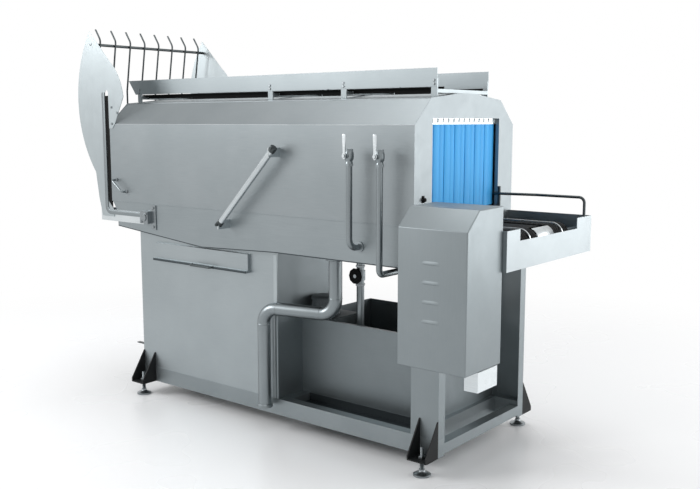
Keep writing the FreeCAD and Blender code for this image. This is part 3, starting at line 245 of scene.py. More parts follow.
finishes = {
    "base_frame": steelBase, "right_posts": steelCabinet, "foot_brackets": blackPaint,
    "levelling_feet": turnedSteel, "cabinet_front_panel": steelPanel,
    "cabinet_back_panel": steelAlong, "cabinet_side_panels": steelBayShade,
    "drawer_front": steelPanel, "filter_tray": steelDark, "drawer_runners": steelDark,
    "drawer_handle": steelRod, "wash_tank": steelBayShade, "bay_ledge": steelDark,
    "tank_cover": steelDark, "circulation_pump": greyPaint, "valve_riser": steelPipe,
    "hand_wheel": wheelPlastic, "hood_panels": steelHood, "hood_roof": steelHood,
    "trough_walls": steelAlong, "trough_floor": steelDark, "infeed_end_frame": steelPortal,
    "outfeed_end_frame": steelPortal, "strip_curtains": blueVinyl, "curtain_rails": steelBright,
    "conveyor_belts": blackPlastic, "conveyor_shafts": turnedSteel, "conveyor_bed": steelDark,
    "bed_crossbars": steelDark, "middle_deck": blackLinerAndShade, "guide_strips": steelTrim,
    "tray_sides": steelAlong, "tray_floor": steelDark, "tray_end_plate": steelAcross,
    "guide_bar": steelRod, "rack_guides": steelAlong, "rack_frame": steelUpright,
    # the chute liners are black as painted shade for the dark slot behind the crescent plates
    "rack_rails": steelBright, "crescent_plates": steelCorner, "chute_liners": blackLinerAndShade,
    "turning_rods": steelRod, "rod_crossbars": steelRod, "outfeed_side_plates": steelTrim,
    "outfeed_floor": steelDark, "drive_bearing": turnedSteel, "supply_pipes": steelPipe,
    "supply_lever_left": steelTrim, "supply_lever_right": steelTrim, "drain_pipe": steelPipe,
    "drain_cock": steelPipe, "drain_lever": steelRod, "control_cabinet": steelCabinet,
    "cable_duct": steelTrim, "side_stay": steelBright, "pull_handle": steelPipe,
}

for node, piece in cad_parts.items():
    piece.data.materials.clear()
    piece.data.materials.append(finishes[node])
print("finishes given to", len(finishes), "nodes")


# ---- surfaces

def spanGrid(grid, closedRows=False):
    # a grid of points whose columns close on themselves becomes four-sided faces; the first and
    # last rows are capped unless the rows close too
    rows, columns = grid.shape[:2]
    index = np.arange(rows * columns).reshape(rows, columns)
    if closedRows:
        index = np.vstack([index, index[:1]])
    ahead = np.roll(index, -1, axis=1)
    quads = np.stack([index[:-1], ahead[:-1], ahead[1:], index[1:]], axis=-1).reshape(-1, 4)
    faces = quads.tolist()
    if not closedRows:
        faces += [index[0, ::-1].tolist(), index[-1].tolist()]
    return grid.reshape(-1, 3), faces


def sweep(route, profile, across):
    # a profile carried along a route: every section stands square to the route, its first measure
    # along "across" as far as the route allows, its second along heading x first
    route = np.asarray(route, dtype=float)
    profile = np.asarray(profile, dtype=float)
    heading = np.gradient(route, axis=0)
    heading /= np.linalg.norm(heading, axis=1, keepdims=True)
    across = np.asarray(across, dtype=float)
    first = across - (heading @ across)[:, None] * heading
    first /= np.linalg.norm(first, axis=1, keepdims=True)
    second = np.cross(heading, first)
    grid = (route[:, None] + profile[None, :, :1] * first[:, None]
            + profile[None, :, 1:] * second[:, None])
    return spanGrid(grid)


def turned(profile, centre, axis="z", sides=40):
    # a profile of (radius, distance along the axis) carried round that axis: radius times cosine
    # and sine of the angle, and the distance unchanged
    profile = np.asarray(profile, dtype=float)
    angle = np.arange(sides) * 2 * math.pi / sides
    grid = np.empty((len(profile), sides, 3))
    grid[:, :, 0] = profile[:, :1] * np.cos(angle)
    grid[:, :, 1] = profile[:, :1] * np.sin(angle)
    grid[:, :, 2] = profile[:, 1:]
    grid = np.roll(grid, {"z": 0, "x": 1, "y": 2}[axis], axis=2)
    return spanGrid(grid + np.asarray(centre, dtype=float))


def roundProfile(radius, sides=20):
    angle = np.arange(sides) * 2 * math.pi / sides
    return np.stack([radius * np.cos(angle), radius * np.sin(angle)], axis=1)


def flatProfile(width, thick, soft=1.0, sides=24):
    # a flat bar's section: a circle pulled out to a rectangle whose corners keep a small radius
    corner = roundProfile(soft, sides)
    push = np.array([width / 2 - soft, thick / 2 - soft])
    return corner + np.sign(np.round(corner, 6)) * push


def roundedRoute(corners, bend, steps=8):
    # straight runs whose corners are arcs that touch both runs
    corners = [np.asarray(corner, dtype=float) for corner in corners]
    route = [corners[0][None]]
    for before, corner, after in zip(corners, corners[1:], corners[2:]):
        back = (before - corner) / np.linalg.norm(before - corner)
        ahead = (after - corner) / np.linalg.norm(after - corner)
        half = math.acos(float(np.clip(back @ ahead, -1, 1))) / 2
        inward = (back + ahead) / np.linalg.norm(back + ahead)
        centre = corner + inward * bend / math.sin(half)
        start = corner + back * bend / math.tan(half) - centre
        finish = corner + ahead * bend / math.tan(half) - centre
        full = math.pi - 2 * half
        t = np.linspace(0, 1, steps + 1)[:, None]
        route.append(centre + (np.sin((1 - t) * full) * start + np.sin(t * full) * finish)
                     / math.sin(full))
    route.append(corners[-1][None])
    return np.vstack(route)


def shifted(part, places):
    # one small shape repeated at a list of places
    points, faces = part
    places = np.asarray(places, dtype=float)
    count = len(points)
    many = (points[None] + places[:, None]).reshape(-1, 3)
    return many, [[corner + count * turn for corner in face]
                  for turn in range(len(places)) for face in faces]


def joined(parts):
    points = []
    faces = []
    count = 0
    for some, theirs in parts:
        points.append(some)
        faces += [[corner + count for corner in face] for face in theirs]
        count += len(some)
    return np.vstack(points), faces


def mirrored(part):
    # the same shape on the other side of the tunnel's middle plane
    points, faces = part
    return points * np.array([1.0, -1.0, 1.0]), [face[::-1] for face in faces]


def addPiece(name, parts, finish, body="machine", sharp=35.0, replaces=()):
    points, faces = joined(parts)
    mesh = bpy.data.meshes.new(name)
    mesh.from_pydata(toFrame(points).tolist(), [], faces)
    work = bmesh.new()
    work.from_mesh(mesh)
    bmesh.ops.remove_doubles(work, verts=work.verts, dist=0.00002)
    bmesh.ops.recalc_face_normals(work, faces=work.faces)
    work.to_mesh(mesh)
    work.free()
    mesh.polygons.foreach_set("use_smooth", np.ones(len(mesh.polygons), dtype=bool))
    mesh.set_sharp_from_angle(angle=math.radians(sharp))
    mesh.materials.append(finish)
    piece = bpy.data.objects.new(name, mesh)
    bpy.context.collection.objects.link(piece)
    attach(piece, body)
    if replaces:
        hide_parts(*replaces)
    return piece


def hexHead(radius, height, axis="z", facing=1.0):
    # a hexagon head: a six-sided barrel whose top edge is chamfered
    return turned([(radius, 0.0), (radius, facing * height * 0.75),
                   (radius * 0.86, facing * height)], (0, 0, 0), axis, 6)


# ---- tunnel: strip curtains on hooks

curtain = {
    "strips": 13,
    "stripWidth": 45.0,
    "thick": 2.4,
    "sag": 4.2,           # how far a strip's middle bows out of its edges
    "stagger": 3.0,       # every second strip hangs this far behind
    "half": 281.0,
    "low": 1119.0,
    "top": 1520.0,
    "infeed": -139.5,
    "outfeed": -2149.5,
    "hookRadius": 2.2,
    "hookRoute": ((5.5, 0, 0), (5.5, 0, 17), (-4.5, 0, 17), (-4.5, 0, 4)),
    "hookBend": 3.0,
    "hookInfeed": -132.5,
    "hookOutfeed": -2154.5,
    "hookHeight": 1507.0,
}


def curtainStrip(middleX, middleY, phase):
    # a strip's section is a shallow arc, outwards x = sag (1 - u squared), with u from -1 to 1
    # across it; down the strip the arc fades a little and the strip leans with a slow sine
    u = np.linspace(-1, 1, 9)
    height = np.linspace(curtain["low"], curtain["top"], 9)
    v = (height - curtain["low"]) / (curtain["top"] - curtain["low"])
    bow = curtain["sag"] * (1 - u ** 2)
    loopX = np.concatenate([bow + curtain["thick"] / 2, (bow - curtain["thick"] / 2)[::-1]])
    loopY = np.concatenate([u, u[::-1]]) * curtain["stripWidth"] / 2
    grid = np.empty((len(v), len(loopX), 3))
    grid[:, :, 0] = middleX + loopX[None] * (0.75 + 0.25 * v[:, None])
    grid[:, :, 1] = middleY + loopY[None] + np.sin(v * 5 + phase)[:, None] * 0.8
    grid[:, :, 2] = height[:, None]
    return spanGrid(grid)


def makeCurtains():
    reach = curtain["half"] - curtain["stripWidth"] / 2
    places = np.linspace(-reach, reach, curtain["strips"])
    strips = []
    for face in ("infeed", "outfeed"):
        for turn, place in enumerate(places):
            behind = curtain["stagger"] * (1 if turn % 2 else -1)
            strips.append(curtainStrip(curtain[face] + behind / 2, place, turn * 1.7))
    addPiece("curtainStrips", strips, blueVinyl, replaces=("strip_curtains",))
    hook = sweep(roundedRoute(curtain["hookRoute"], curtain["hookBend"], 5),
                 roundProfile(curtain["hookRadius"], 8), (0, 1, 0))
    hooks = [(curtain["hookInfeed"], place, curtain["hookHeight"]) for place in places]
    backHooks = [(curtain["hookOutfeed"], place, curtain["hookHeight"]) for place in places]
    addPiece("curtainHooks", [shifted(hook, hooks), shifted(hook, backHooks)], steelTrim)


makeCurtains()
print("curtains hung")


# ---- conveyor: hinged belt modules

belt = {
    "pitch": 25.4,         # length of a belt module
    "samples": 8,
    "groove": 2.6,
    "right": 240.0,        # where the straight runs end
    "left": -2212.0,
    "height": 1014.0,
    "radius": 41.0,        # of the middle of the belt round a roller
    "half": 9.0,
    "width": 62.0,
    "tracks": (112.0, 188.0, -112.0, -188.0),
}


def makeBelts():
    # distance round a stadium to a place and an outward direction, and a section whose outer face
    # dips at each hinge by groove times (half a cosine to the eighth power)
    straight = belt["right"] - belt["left"]
    turnLength = math.pi * belt["radius"]
    around = 2 * (straight + turnLength)
    modules = round(around / belt["pitch"])
    s = np.arange(modules * belt["samples"]) * around / (modules * belt["samples"])
    angleRight = np.clip((s - straight) / belt["radius"], 0, math.pi)
    angleLeft = np.clip((s - 2 * straight - turnLength) / belt["radius"], 0, math.pi)
    angle = math.pi / 2 - angleRight - angleLeft
    x = belt["left"] + np.clip(s, 0, straight) - np.clip(s - straight - turnLength, 0, straight)
    x = x + belt["radius"] * np.cos(angle)
    z = belt["height"] + belt["radius"] * np.sin(angle)
    phase = s * modules / around * 2 * math.pi
    dip = belt["groove"] * (0.5 + 0.5 * np.cos(phase)) ** 8
    half = belt["half"]
    width = belt["width"] / 2
    section = np.array([(-width, -half), (width, -half), (width, half - 1.2), (width - 1.2, half),
                        (width * 0.34, half), (width * 0.30, half - 1.6),
                        (width * 0.24, half - 1.6), (width * 0.20, half),
                        (-width * 0.20, half), (-width * 0.24, half - 1.6),
                        (-width * 0.30, half - 1.6), (-width * 0.34, half), (1.2 - width, half),
                        (-width, half - 1.2)])
    raised = (section[:, 1] > 0).astype(float)
    outward = section[None, :, 1] - dip[:, None] * raised[None]
    grid = np.empty((len(s), len(section), 3))
    grid[:, :, 0] = x[:, None] + outward * np.cos(angle)[:, None]
    grid[:, :, 1] = section[None, :, 0]
    grid[:, :, 2] = z[:, None] + outward * np.sin(angle)[:, None]
    loop = spanGrid(grid, closedRows=True)
    places = [(0, track, 0) for track in belt["tracks"]]
    addPiece("beltLoops", [shifted(loop, places)], blackPlastic, sharp=28,
             replaces=("conveyor_belts",))


makeBelts()
print("belts laid")


# ---- round bars and tubes

bars = {
    "rodRadius": 5.0,
    "rodPitch": 104.0,
    "rodCount": 8,
    "rodRoute": ((-2350, 0, 1100), (-2350, 0, 1690), (-2304, 0, 1965), (-2345, 0, 2025)),
    "rodBend": 40,
    "rodTip": 2024.6,       # where a rod's rounded tip starts
    "collarPlace": (-2318.3, -421.4, 1940.0),
    "guideRadius": 6.5,
    "guideRoute": ((-130, 276.5, 1172), (-95, 276.5, 1172), (75, 315, 1172), (316.5, 315, 1172),
                   (316.5, 315, 1085)),
    "guideBend": 26,
    "guidePost": ((-105.5, 288, 1112), (-105.5, 288, 1206)),
}


def makeRods():
    route = roundedRoute(bars["rodRoute"], bars["rodBend"], 8)
    rod = sweep(route, roundProfile(bars["rodRadius"], 14), (0, 1, 0))
    places = [(0, bars["rodPitch"] * (step - (bars["rodCount"] - 1) / 2), 0)
              for step in range(bars["rodCount"])]
    tips = shifted(turned([(5.0, 0.0), (4.6, 1.8), (3.2, 3.4), (1.2, 4.0)], (0, 0, 0), "z", 14),
                   [(bars["rodRoute"][-1][0], place[1], bars["rodTip"]) for place in places])
    addPiece("turningRods", [shifted(rod, places), tips], steelRod,
             replaces=("turning_rods",))
    collar = turned([(3.0, -2.6), (7.0, -2.0), (8.6, 0.0), (8.6, 2.6)], bars["collarPlace"], "y",
                    20)
    addPiece("rodCollars", [collar, mirrored(collar)], turnedSteel)


def makeGuideBar():
    route = roundedRoute(bars["guideRoute"], bars["guideBend"], 8)
    profile = roundProfile(bars["guideRadius"], 16)
    bar = sweep(route, profile, (0, 1, 0.0001))
    post = sweep(bars["guidePost"], profile, (0, 1, 0))
    addPiece("guideBarTube", [bar, post], steelRod, replaces=("guide_bar",))


stay = {
    "top": (-862.0, -477.0, 1392.0),
    "low": (-1240.0, -477.0, 1008.0),
    "radius": 15.3,
    "sleeveRadius": 17.5,
    "sleeveInner": 22,      # how far a sleeve reaches along the tube
    "sleeveOuter": 3,       # and beyond its end
    "headPlane": -494,
}


def makeStay():
    top = np.array(stay["top"])
    low = np.array(stay["low"])
    along = (low - top) / np.linalg.norm(low - top)
    profile = roundProfile(stay["sleeveRadius"], 28)
    inner = along * stay["sleeveInner"]
    outer = along * stay["sleeveOuter"]
    sleeves = [sweep([top - outer, top + inner], profile, (0, 1, 0)),
               sweep([low - inner, low + outer], profile, (0, 1, 0))]
    tube = sweep([top, low], roundProfile(stay["radius"], 28), (0, 1, 0))
    heads = shifted(hexHead(8.0, 6.0, "y", -1.0),
                    [(x, stay["headPlane"], z) for x, _, z in (stay["top"], stay["low"])])
    addPiece("stayTube", [tube], steelBright)
    addPiece("staySleeves", sleeves + [heads], steelRod)


handles = {
    "drawerRoute": ((-1523, -408.3, 771), (-1523, -430.3, 771), (-1366, -430.3, 771),
                    (-1366, -408.3, 771)),
    "drawerBend": 14,
    "drawerRadius": 5.0,
    "gripRoute": ((-2128, -420, 1190), (-2128, -451, 1190), (-2044, -451, 1128),
                  (-2044, -420, 1128)),
    "gripBend": 15,
    "gripRadius": 6.0,
    "gripAcross": (62, 0, 84),      # square to the slanted run
    "gripFoot": -420.2,
}


def makeHandles():
    route = handles["drawerRoute"]
    drawer = sweep(roundedRoute(route, handles["drawerBend"], 8),
                   roundProfile(handles["drawerRadius"], 16), (0, 0, 1))
    feet = shifted(turned([(5.0, -6.0), (6.6, -2.5), (8.2, 0.0)], (0, 0, 0), "y", 16),
                   [route[0], route[-1]])
    addPiece("drawerPull", [drawer, feet], steelRod, body="filter_drawer",
             replaces=("drawer_handle",))
    route = handles["gripRoute"]
    grip = sweep(roundedRoute(route, handles["gripBend"], 8),
                 roundProfile(handles["gripRadius"], 16), handles["gripAcross"])
    feet = shifted(turned([(6.0, -7.0), (8.0, -3.0), (10.0, 0.0)], (0, 0, 0), "y", 16),
                   [(x, handles["gripFoot"], z) for x, _, z in (route[0], route[-1])])
    addPiece("turningGrip", [grip, feet], steelPipe,
             replaces=("pull_handle",))


makeRods()
makeGuideBar()
makeStay()
makeHandles()
print("bars and handles bent")


# ---- pipes with unions, valves, levers and the hand wheel

pipes = {
    "supplyY": -487.0,
    "supplyRadius": 14.0,
    "supplyTop": 1338.0,
    "leftX": -405.0,
    "rightX": -240.0,
    "leftLow": 963.0,
    "rightLow": 863.0,
    "leftBend": 46,
    "rightBend": 26,
    "leverAxis": 1367,
    "leverPlane": -521.5,
    "leverLow": 1353.5,
    "leverLength": 107.0,
    "drainRadius": 32.0,
    "drainRoute": ((-605, -340, 889.5), (-605, -340, 615), (-985, -430, 615), (-985, -430, 118)),
    "drainBend": 74,
    "drainBeads": (694, 536),
    "bead": 1.6,            # how far a weld bead stands out
}


def beadRing(place, radius, axis):
    # a weld bead: a narrow ring whose radius swells by half a sine over its width
    t = np.linspace(0, 1, 9)
    swell = radius - 0.4 + pipes["bead"] * np.sin(t * math.pi)
    return turned(np.stack([swell, (t - 0.5) * 7.0], axis=1), place, axis, 32)


def makeSupply():
    y = pipes["supplyY"]
    parts = []
    routes = {
        "leftX": [(0, y, pipes["supplyTop"]), (0, y, pipes["leftLow"]),
                  (0, -414.5, pipes["leftLow"])],
        "rightX": [(0, y, pipes["supplyTop"]), (0, y, pipes["rightLow"]),
                   (0, -150, pipes["rightLow"]), (0, -150, 889.5)],
    }
    for name, corners in routes.items():
        x = pipes[name]
        bend = pipes["leftBend"] if name == "leftX" else pipes["rightBend"]
        route = roundedRoute(corners, bend, 10) + np.array([x, 0, 0])
        parts.append(sweep(route, roundProfile(pipes["supplyRadius"], 24), (1, 0, 0)))
        body = [(13.0, 1322), (17.5, 1323), (17.5, 1337), (15.5, 1340), (15.5, 1344), (20.0, 1350),
                (22.0, 1360), (22.0, 1374), (20.0, 1384), (15.5, 1390), (15.5, 1392), (17.5, 1393),
                (17.5, 1396.5), (12.0, 1397)]
        parts.append(turned([(r * 0.93, h) for r, h in body], (x, y, 0), "z", 28))
        for low, high in ((1322, 1333), (1384.5, 1394)):
            parts.append(turned([(19.0, low), (19.0, high)], (x, y, 0), "z", 6))
        for stem in ([(10.5, -510.0), (12.0, -508.0), (12.0, -487.0)],
                     [(3.5, -528.0), (7.9, -526.0), (7.9, -487.0)]):
            parts.append(turned(stem, (x, 0, pipes["leverAxis"]), "y", 20))
    parts.append(turned([(14.5, -420.0), (24.0, -419.0), (24.0, -414.2), (14.5, -414.2)],
                        (pipes["leftX"], 0, pipes["leftLow"]), "y", 28))
    addPiece("supplyTubes", parts, steelPipe, replaces=("supply_pipes",))
    for side, name in (("left", "leftX"), ("right", "rightX")):
        # a lever: flat bar whose width swells round the stem, necks in and widens to the grip
        height = np.linspace(pipes["leverLow"], pipes["leverLow"] + pipes["leverLength"], 36)
        t = (height - pipes["leverLow"]) / pipes["leverLength"]
        eye = 9.8 * np.sqrt(np.clip(1 - ((t - 0.13) / 0.14) ** 2, 0.05, 1))
        blade = 6.4 + 3.2 * np.clip((t - 0.3) / 0.5, 0, 1)
        tip = np.sqrt(np.clip(1 - ((t - 0.95) / 0.052) ** 2, 0.02, 1))
        width = np.where(t < 0.26, eye, 7.0)
        width = np.maximum(width, np.where(t > 0.2, blade, 0))
        width = width * np.where(t > 0.95, tip, 1)
        section = flatProfile(2.0, 4.8, 0.9, 16)
        grid = np.empty((len(height), len(section), 3))
        grid[:, :, 0] = pipes[name] + section[None, :, 0] * width[:, None]
        grid[:, :, 1] = pipes["leverPlane"] + section[None, :, 1]
        grid[:, :, 2] = height[:, None]
        nut = turned([(7.4, -529.5), (7.4, -524.0)], (pipes[name], 0, pipes["leverAxis"]), "y", 6)
        addPiece("valveLever" + side.capitalize(), [spanGrid(grid), nut], steelTrim,
                 body=side + "_lever",
                 replaces=("supply_lever_" + side,))


def makeDrain():
    corners = pipes["drainRoute"]
    top = corners[0][:2]
    foot = corners[-1][:2]
    radius = pipes["drainRadius"]
    run = np.array(corners[2], float) - np.array(corners[1], float)
    normal = (-run[1], run[0], 0.0)
    route = roundedRoute(corners, pipes["drainBend"], 14)
    tube = sweep(route, roundProfile(radius, 40), normal)
    parts = [tube] + [beadRing((*place, height), radius, "z")
                      for place, height in zip((top, foot), pipes["drainBeads"])]
    parts.append(turned([(radius + 2, 112 + 10), (radius + 6, 118), (radius + 6, 118 + 14),
                         (radius + 2, 118 + 18)], (*foot, 0), "z", 40))
    parts.append(turned([(radius + 1, 872), (radius + 12, 876), (radius + 12, 889.6),
                         (radius + 1, 889.6)], (*top, 0), "z", 40))
    along = run / np.linalg.norm(run)
    for distance in (78.0, float(np.linalg.norm(run)) - 78.0):
        middle = np.array(corners[1], float) + along * distance
        t = np.linspace(0, 1, 9)
        stations = middle + along * ((t - 0.5) * 7.0)[:, None]
        circle = roundProfile(1.0, 40)
        swell = radius - 0.4 + pipes["bead"] * np.sin(t * math.pi)
        first = np.array(normal) / np.linalg.norm(normal)
        second = np.array([0.0, 0.0, 1.0])
        grid = stations[:, None] + swell[:, None, None] * (
            circle[None, :, :1] * first + circle[None, :, 1:] * second)
        parts.append(spanGrid(grid))
    addPiece("drainTube", parts, steelPipe, replaces=("drain_pipe",))


wheel = {
    "centre": (-646.0, -139.5, 768.0),
    "rim": 34.0,
    "rimThick": 4.6,
    "hub": 12.0,
    "spokes": 5,
    "riserY": -100,
    "boltCircle": 36,
}


def makeHandWheel():
    # rim: a small circle carried round a large one, with shallow finger scallops, radius times
    # (1 + 0.05 cos 10 a); the spokes run from the hub to the rim
    angle = np.arange(60) * 2 * math.pi / 60
    tube = roundProfile(wheel["rimThick"], 14)
    radius = wheel["rim"] + 0.9 * np.cos(angle * 10)
    grid = np.empty((60, 14, 3))
    grid[:, :, 0] = (radius[:, None] + tube[None, :, 0]) * np.cos(angle)[:, None]
    grid[:, :, 1] = tube[None, :, 1] * 0.95
    grid[:, :, 2] = (radius[:, None] + tube[None, :, 0]) * np.sin(angle)[:, None]
    centre = np.array(wheel["centre"])
    parts = [spanGrid(grid + centre, closedRows=True)]
    for step in range(wheel["spokes"]):
        turnBy = 2 * math.pi * step / wheel["spokes"] + 0.3
        outward = np.array([math.cos(turnBy), 0, math.sin(turnBy)])
        parts.append(sweep([centre + outward * 8.3, centre + outward * wheel["rim"]],
                           flatProfile(5.6, 8.0, 1.6, 12), (0, 1, 0)))
    web = turned([(8.2, -1.5), (20.0, -2.6), (33.0, -0.6), (33.0, 0.9), (20.0, -0.4), (8.2, 1.5)],
                 (0, 0, 0), "y", 40)
    parts.append((web[0] + centre, web[1]))
    hub = turned([(8.1, -4.5), (wheel["hub"], -4.4), (wheel["hub"], 3.0), (10.0, 4.4), (8.1, 4.5)],
                 (0, 0, 0), "y", 28)
    parts.append((hub[0] + centre, hub[1]))
    addPiece("handWheelRim", parts, wheelPlastic, body="valve_wheel",
             replaces=("hand_wheel",))
    x, _, z = wheel["centre"]
    y = wheel["riserY"]
    bonnet = [turned([(9.0, -145.5), (16.0, -126.0), (17.5, -124.0), (17.5, -112.0)],
                     (x, 0, z), "y", 28)]
    heads = hexHead(5.0, 6.0, "z", -1.0)
    ring = [(x + wheel["boltCircle"] * math.cos(a), y + wheel["boltCircle"] * math.sin(a), 878.0)
            for a in np.arange(4) * math.pi / 2 + 0.6]
    bonnet.append(shifted(heads, ring))
    for low in (808.0, 716.0):
        bonnet.append(turned([(21.0, low), (25.0, low + 1), (25.0, low + 10), (21.0, low + 11)],
                             (x, y, 0), "z", 6))
    addPiece("valveFittings", bonnet, turnedSteel)


makeSupply()
makeDrain()
makeHandWheel()
print("pipes and valves fitted")


# ---- feet: turned discs, necks, threaded screws and nuts, above and below the toe plates

foot = {
    "disc": 38.6,
    "screw": 9.6,
    "thread": 2.0,          # pitch drawn coarser than the real 1.5 mm so that it shows
    "nut": 17.0,
    "screwTop": 128.0,
    "places": ((-50.0, -427.0), (-50.0, 427.0), (-1932.0, -427.0), (-1932.0, 427.0)),
}


def makeFeet():
    # the thread is a ring profile whose radius goes up and down once in each pitch
    height = np.arange(22.0, foot["screwTop"], foot["thread"] / 2)
    radius = foot["screw"] - 0.9 * (np.arange(len(height)) % 2)
    screw = turned(np.stack([radius, height], axis=1), (0, 0, 0), "z", 16)
    disc = turned([(30.0, 0.0), (foot["disc"], 0.6), (foot["disc"], 8.0), (37.0, 9.4), (24.0, 14.0),
                   (14.5, 20.0), (13.0, 23.0), (12.6, 30.0), (9.0, 31.0)], (0, 0, 0), "z", 40)
    nutLow = turned([(foot["nut"] * 0.9, 57.4), (foot["nut"], 59.0), (foot["nut"], 68.4),
                     (foot["nut"] * 0.9, 70.0)], (0, 0, 0), "z", 6)
    nutHigh = turned([(foot["nut"] * 0.9, 76.2), (foot["nut"], 77.6), (foot["nut"], 87.0),
                      (foot["nut"] * 0.9, 88.6)], (0, 0, 0), "z", 6)
    places = [(x, y, 0) for x, y in foot["places"]]
    addPiece("turnedFeet", [shifted(part, places) for part in (screw, disc, nutLow, nutHigh)],
             turnedSteel, replaces=("levelling_feet",))


makeFeet()
print("feet turned")


# ---- trims that the solids leave plain: seams, the drawer's lip and the chute's edge strips, with painted highlight lines along the hood's folds and down the front panel's corner, and painted shadow lines along the trough's lower edges

trims = {
    "seamRun": ((-2172, 418.0, 1071.5), (-116, 418.0, 1071.5)),
    "foldRun": ((-2170, 417.6, 1498), (-116, 417.6, 1498)),
    "flatShadowRun": ((-926, 413.6, 890.5), (-118, 413.6, 890.5)),
    "slopeShadowRun": ((-2128, 413.6, 933.6), (-1445, 413.6, 871), (-928, 413.6, 890.5)),
    "baseRun": ((-1980, 380.0, 150.6), (-2, 380.0, 150.6)),
    "cornerRun": ((-953, 380.4, 154), (-953, 380.4, 872)),
    "drawerRun": ((-1840, 408.9, 770.4), (-1126, 408.9, 770.4)),
    "chuteRun": ((-2219, 421.9, 1672), (-2219, 421.9, 1007), (-1903, 421.9, 1007)),
    "chuteBend": 34,
}


def onSide(name, side):
    # a run along the machine, on its back (1) or on its front (-1)
    return np.asarray(trims[name], dtype=float) * np.array([1.0, side, 1.0])


def makeTrims():
    foldHighlights = []
    plain = []
    dark = []
    up = (0, 0, 1)
    for side in (-1, 1):
        plain.append(sweep(onSide("seamRun", side), flatProfile(3.0, 2.2, 0.6, 12), up))
        # a thin bright bar along each hood fold: a painted highlight
        foldHighlights.append(sweep(onSide("foldRun", side), roundProfile(1.0, 10), up))
        # painted shadow lines: dark strips along the trough's lower edges, where shade falls under
        # the trough
        dark.append(sweep(onSide("flatShadowRun", side), flatProfile(5.0, 3.2, 0.6, 12), up))
        dark.append(sweep(onSide("slopeShadowRun", side), flatProfile(4.5, 3.2, 0.6, 12), up))
        plain.append(sweep(onSide("baseRun", side), flatProfile(2.8, 2.0, 0.6, 12), up))
    # a bright strip down the front panel's right-hand corner: a painted highlight
    corner = sweep(onSide("cornerRun", -1), flatProfile(24.0, 2.6, 1.0, 16), (1, 0, 0))
    addPiece("cornerHighlightStrip", [corner], steelCorner)
    addPiece("foldHighlightLines", foldHighlights, steelTrim)
    addPiece("seamLaps", plain, steelAlong)
    addPiece("troughShadowLines", dark, steelDark)
    lip = sweep(onSide("drawerRun", -1), flatProfile(12.4, 3.0, 1.2, 16), up)
    addPiece("drawerLipEdge", [lip], steelDark, body="filter_drawer")
    strips = [sweep(roundedRoute(onSide("chuteRun", side), trims["chuteBend"], 10),
                    flatProfile(3.4, 25, 1.2, 16), (0, 1, 0)) for side in (-1, 1)]
    addPiece("chuteEdgeStrips", strips, steelPipe)


makeTrims()
print("trims folded")


slide = {
    "across": (-165.0, 165.0),
    "left": -2192.0,
    "right": -136.0,
    "bars": ((-2176.0, -2144.0), (-1146.0, -1114.0), (-673.0, -641.0), (-168.0, -136.0)),
}


def makeCrateShadeStrips():
    # black strips on the rack's cross bars, deeper between the bars: painted shade standing in for
    # the shadowed undersides of the crates, which are left out
    parts = []
    for y in slide["across"]:
        parts.append(sweep([(slide["left"], y, 1658.5), (slide["right"], y, 1658.5)],
                           flatProfile(11.0, 10.6, 3.0, 20), (0, 1, 0)))
        for (_, start), (finish, _) in zip(slide["bars"], slide["bars"][1:]):
            parts.append(sweep([(start + 4, y, 1648.0), (finish - 4, y, 1648.0)],
                               flatProfile(7.0, 14.0, 1.2, 16), (0, 1, 0)))
    addPiece("crateShadeStrips", parts, blackLinerAndShade, replaces=("rack_rails",))


makeCrateShadeStrips()
print("slide strips laid")


nose = {
    "centre": (240.0, 1014.0),
    "radius": 50.5,
    "half": 74.0,
    "thick": 2.0,
}


def makeNoseCover():
    # a bright apron over the infeed rollers between the tracks: an arc from near the deck's top
    # down the front, then straight down to the tray
    angle = np.linspace(0.4, 0.0, 12) * math.pi
    x, z = nose["centre"]
    arc = np.stack([x + nose["radius"] * np.cos(angle), 0 * angle,
                    z + nose["radius"] * np.sin(angle)], axis=1)
    route = np.vstack([arc, [(x + nose["radius"], 0, z - 60)]])
    apron = sweep(route, flatProfile(nose["half"] * 2, nose["thick"], 0.8, 16), (0, 1, 0))
    addPiece("noseApron", [apron], steelTrim, sharp=50)


makeNoseCover()
print("nose apron bent")


latch = {
    "place": (-112.0, -351.0, 1183.0),
    "tongue": ((-109.8, -351, 1170), (-109.8, -351, 1200)),
}


def makeLatch():
    knob = turned([(5.5, 0.0), (5.5, 5.0), (8.0, 6.0), (9.0, 9.0), (8.0, 14.0), (4.0, 16.0)],
                  latch["place"], "x", 24)
    tongue = sweep(latch["tongue"], flatProfile(15, 4.0, 1.4, 16), (0, 1, 0))
    addPiece("latchKnob", [knob, tongue], wheelPlastic)


makeLatch()
print("latch fitted")


# ---- small fasteners

bolts = {
    "guideHead": 6.5,
    "plateHead": 7.0,
    "bearingHead": 8.0,
    "guidePlaces": [(x, -218.0, z) for x in (-2160.0, -1130.0, -657.0, -152.0)
                    for z in (1675.0, 1690.0)],
    "platePlaces": [(-2150.0, -420.0, 1500.0), (-2150.0, -420.0, 1590.0),
                    (-2100.0, -420.0, 1560.0)],
    "bearingPlaces": [(-1816.0, -420.0, 948.0), (-1816.0, -420.0, 1050.0),
                      (-1888.0, -444.0, 976.0), (-1847.0, -444.0, 1020.0)],
    "bearingCap": (-1867.5, 0, 998),
}


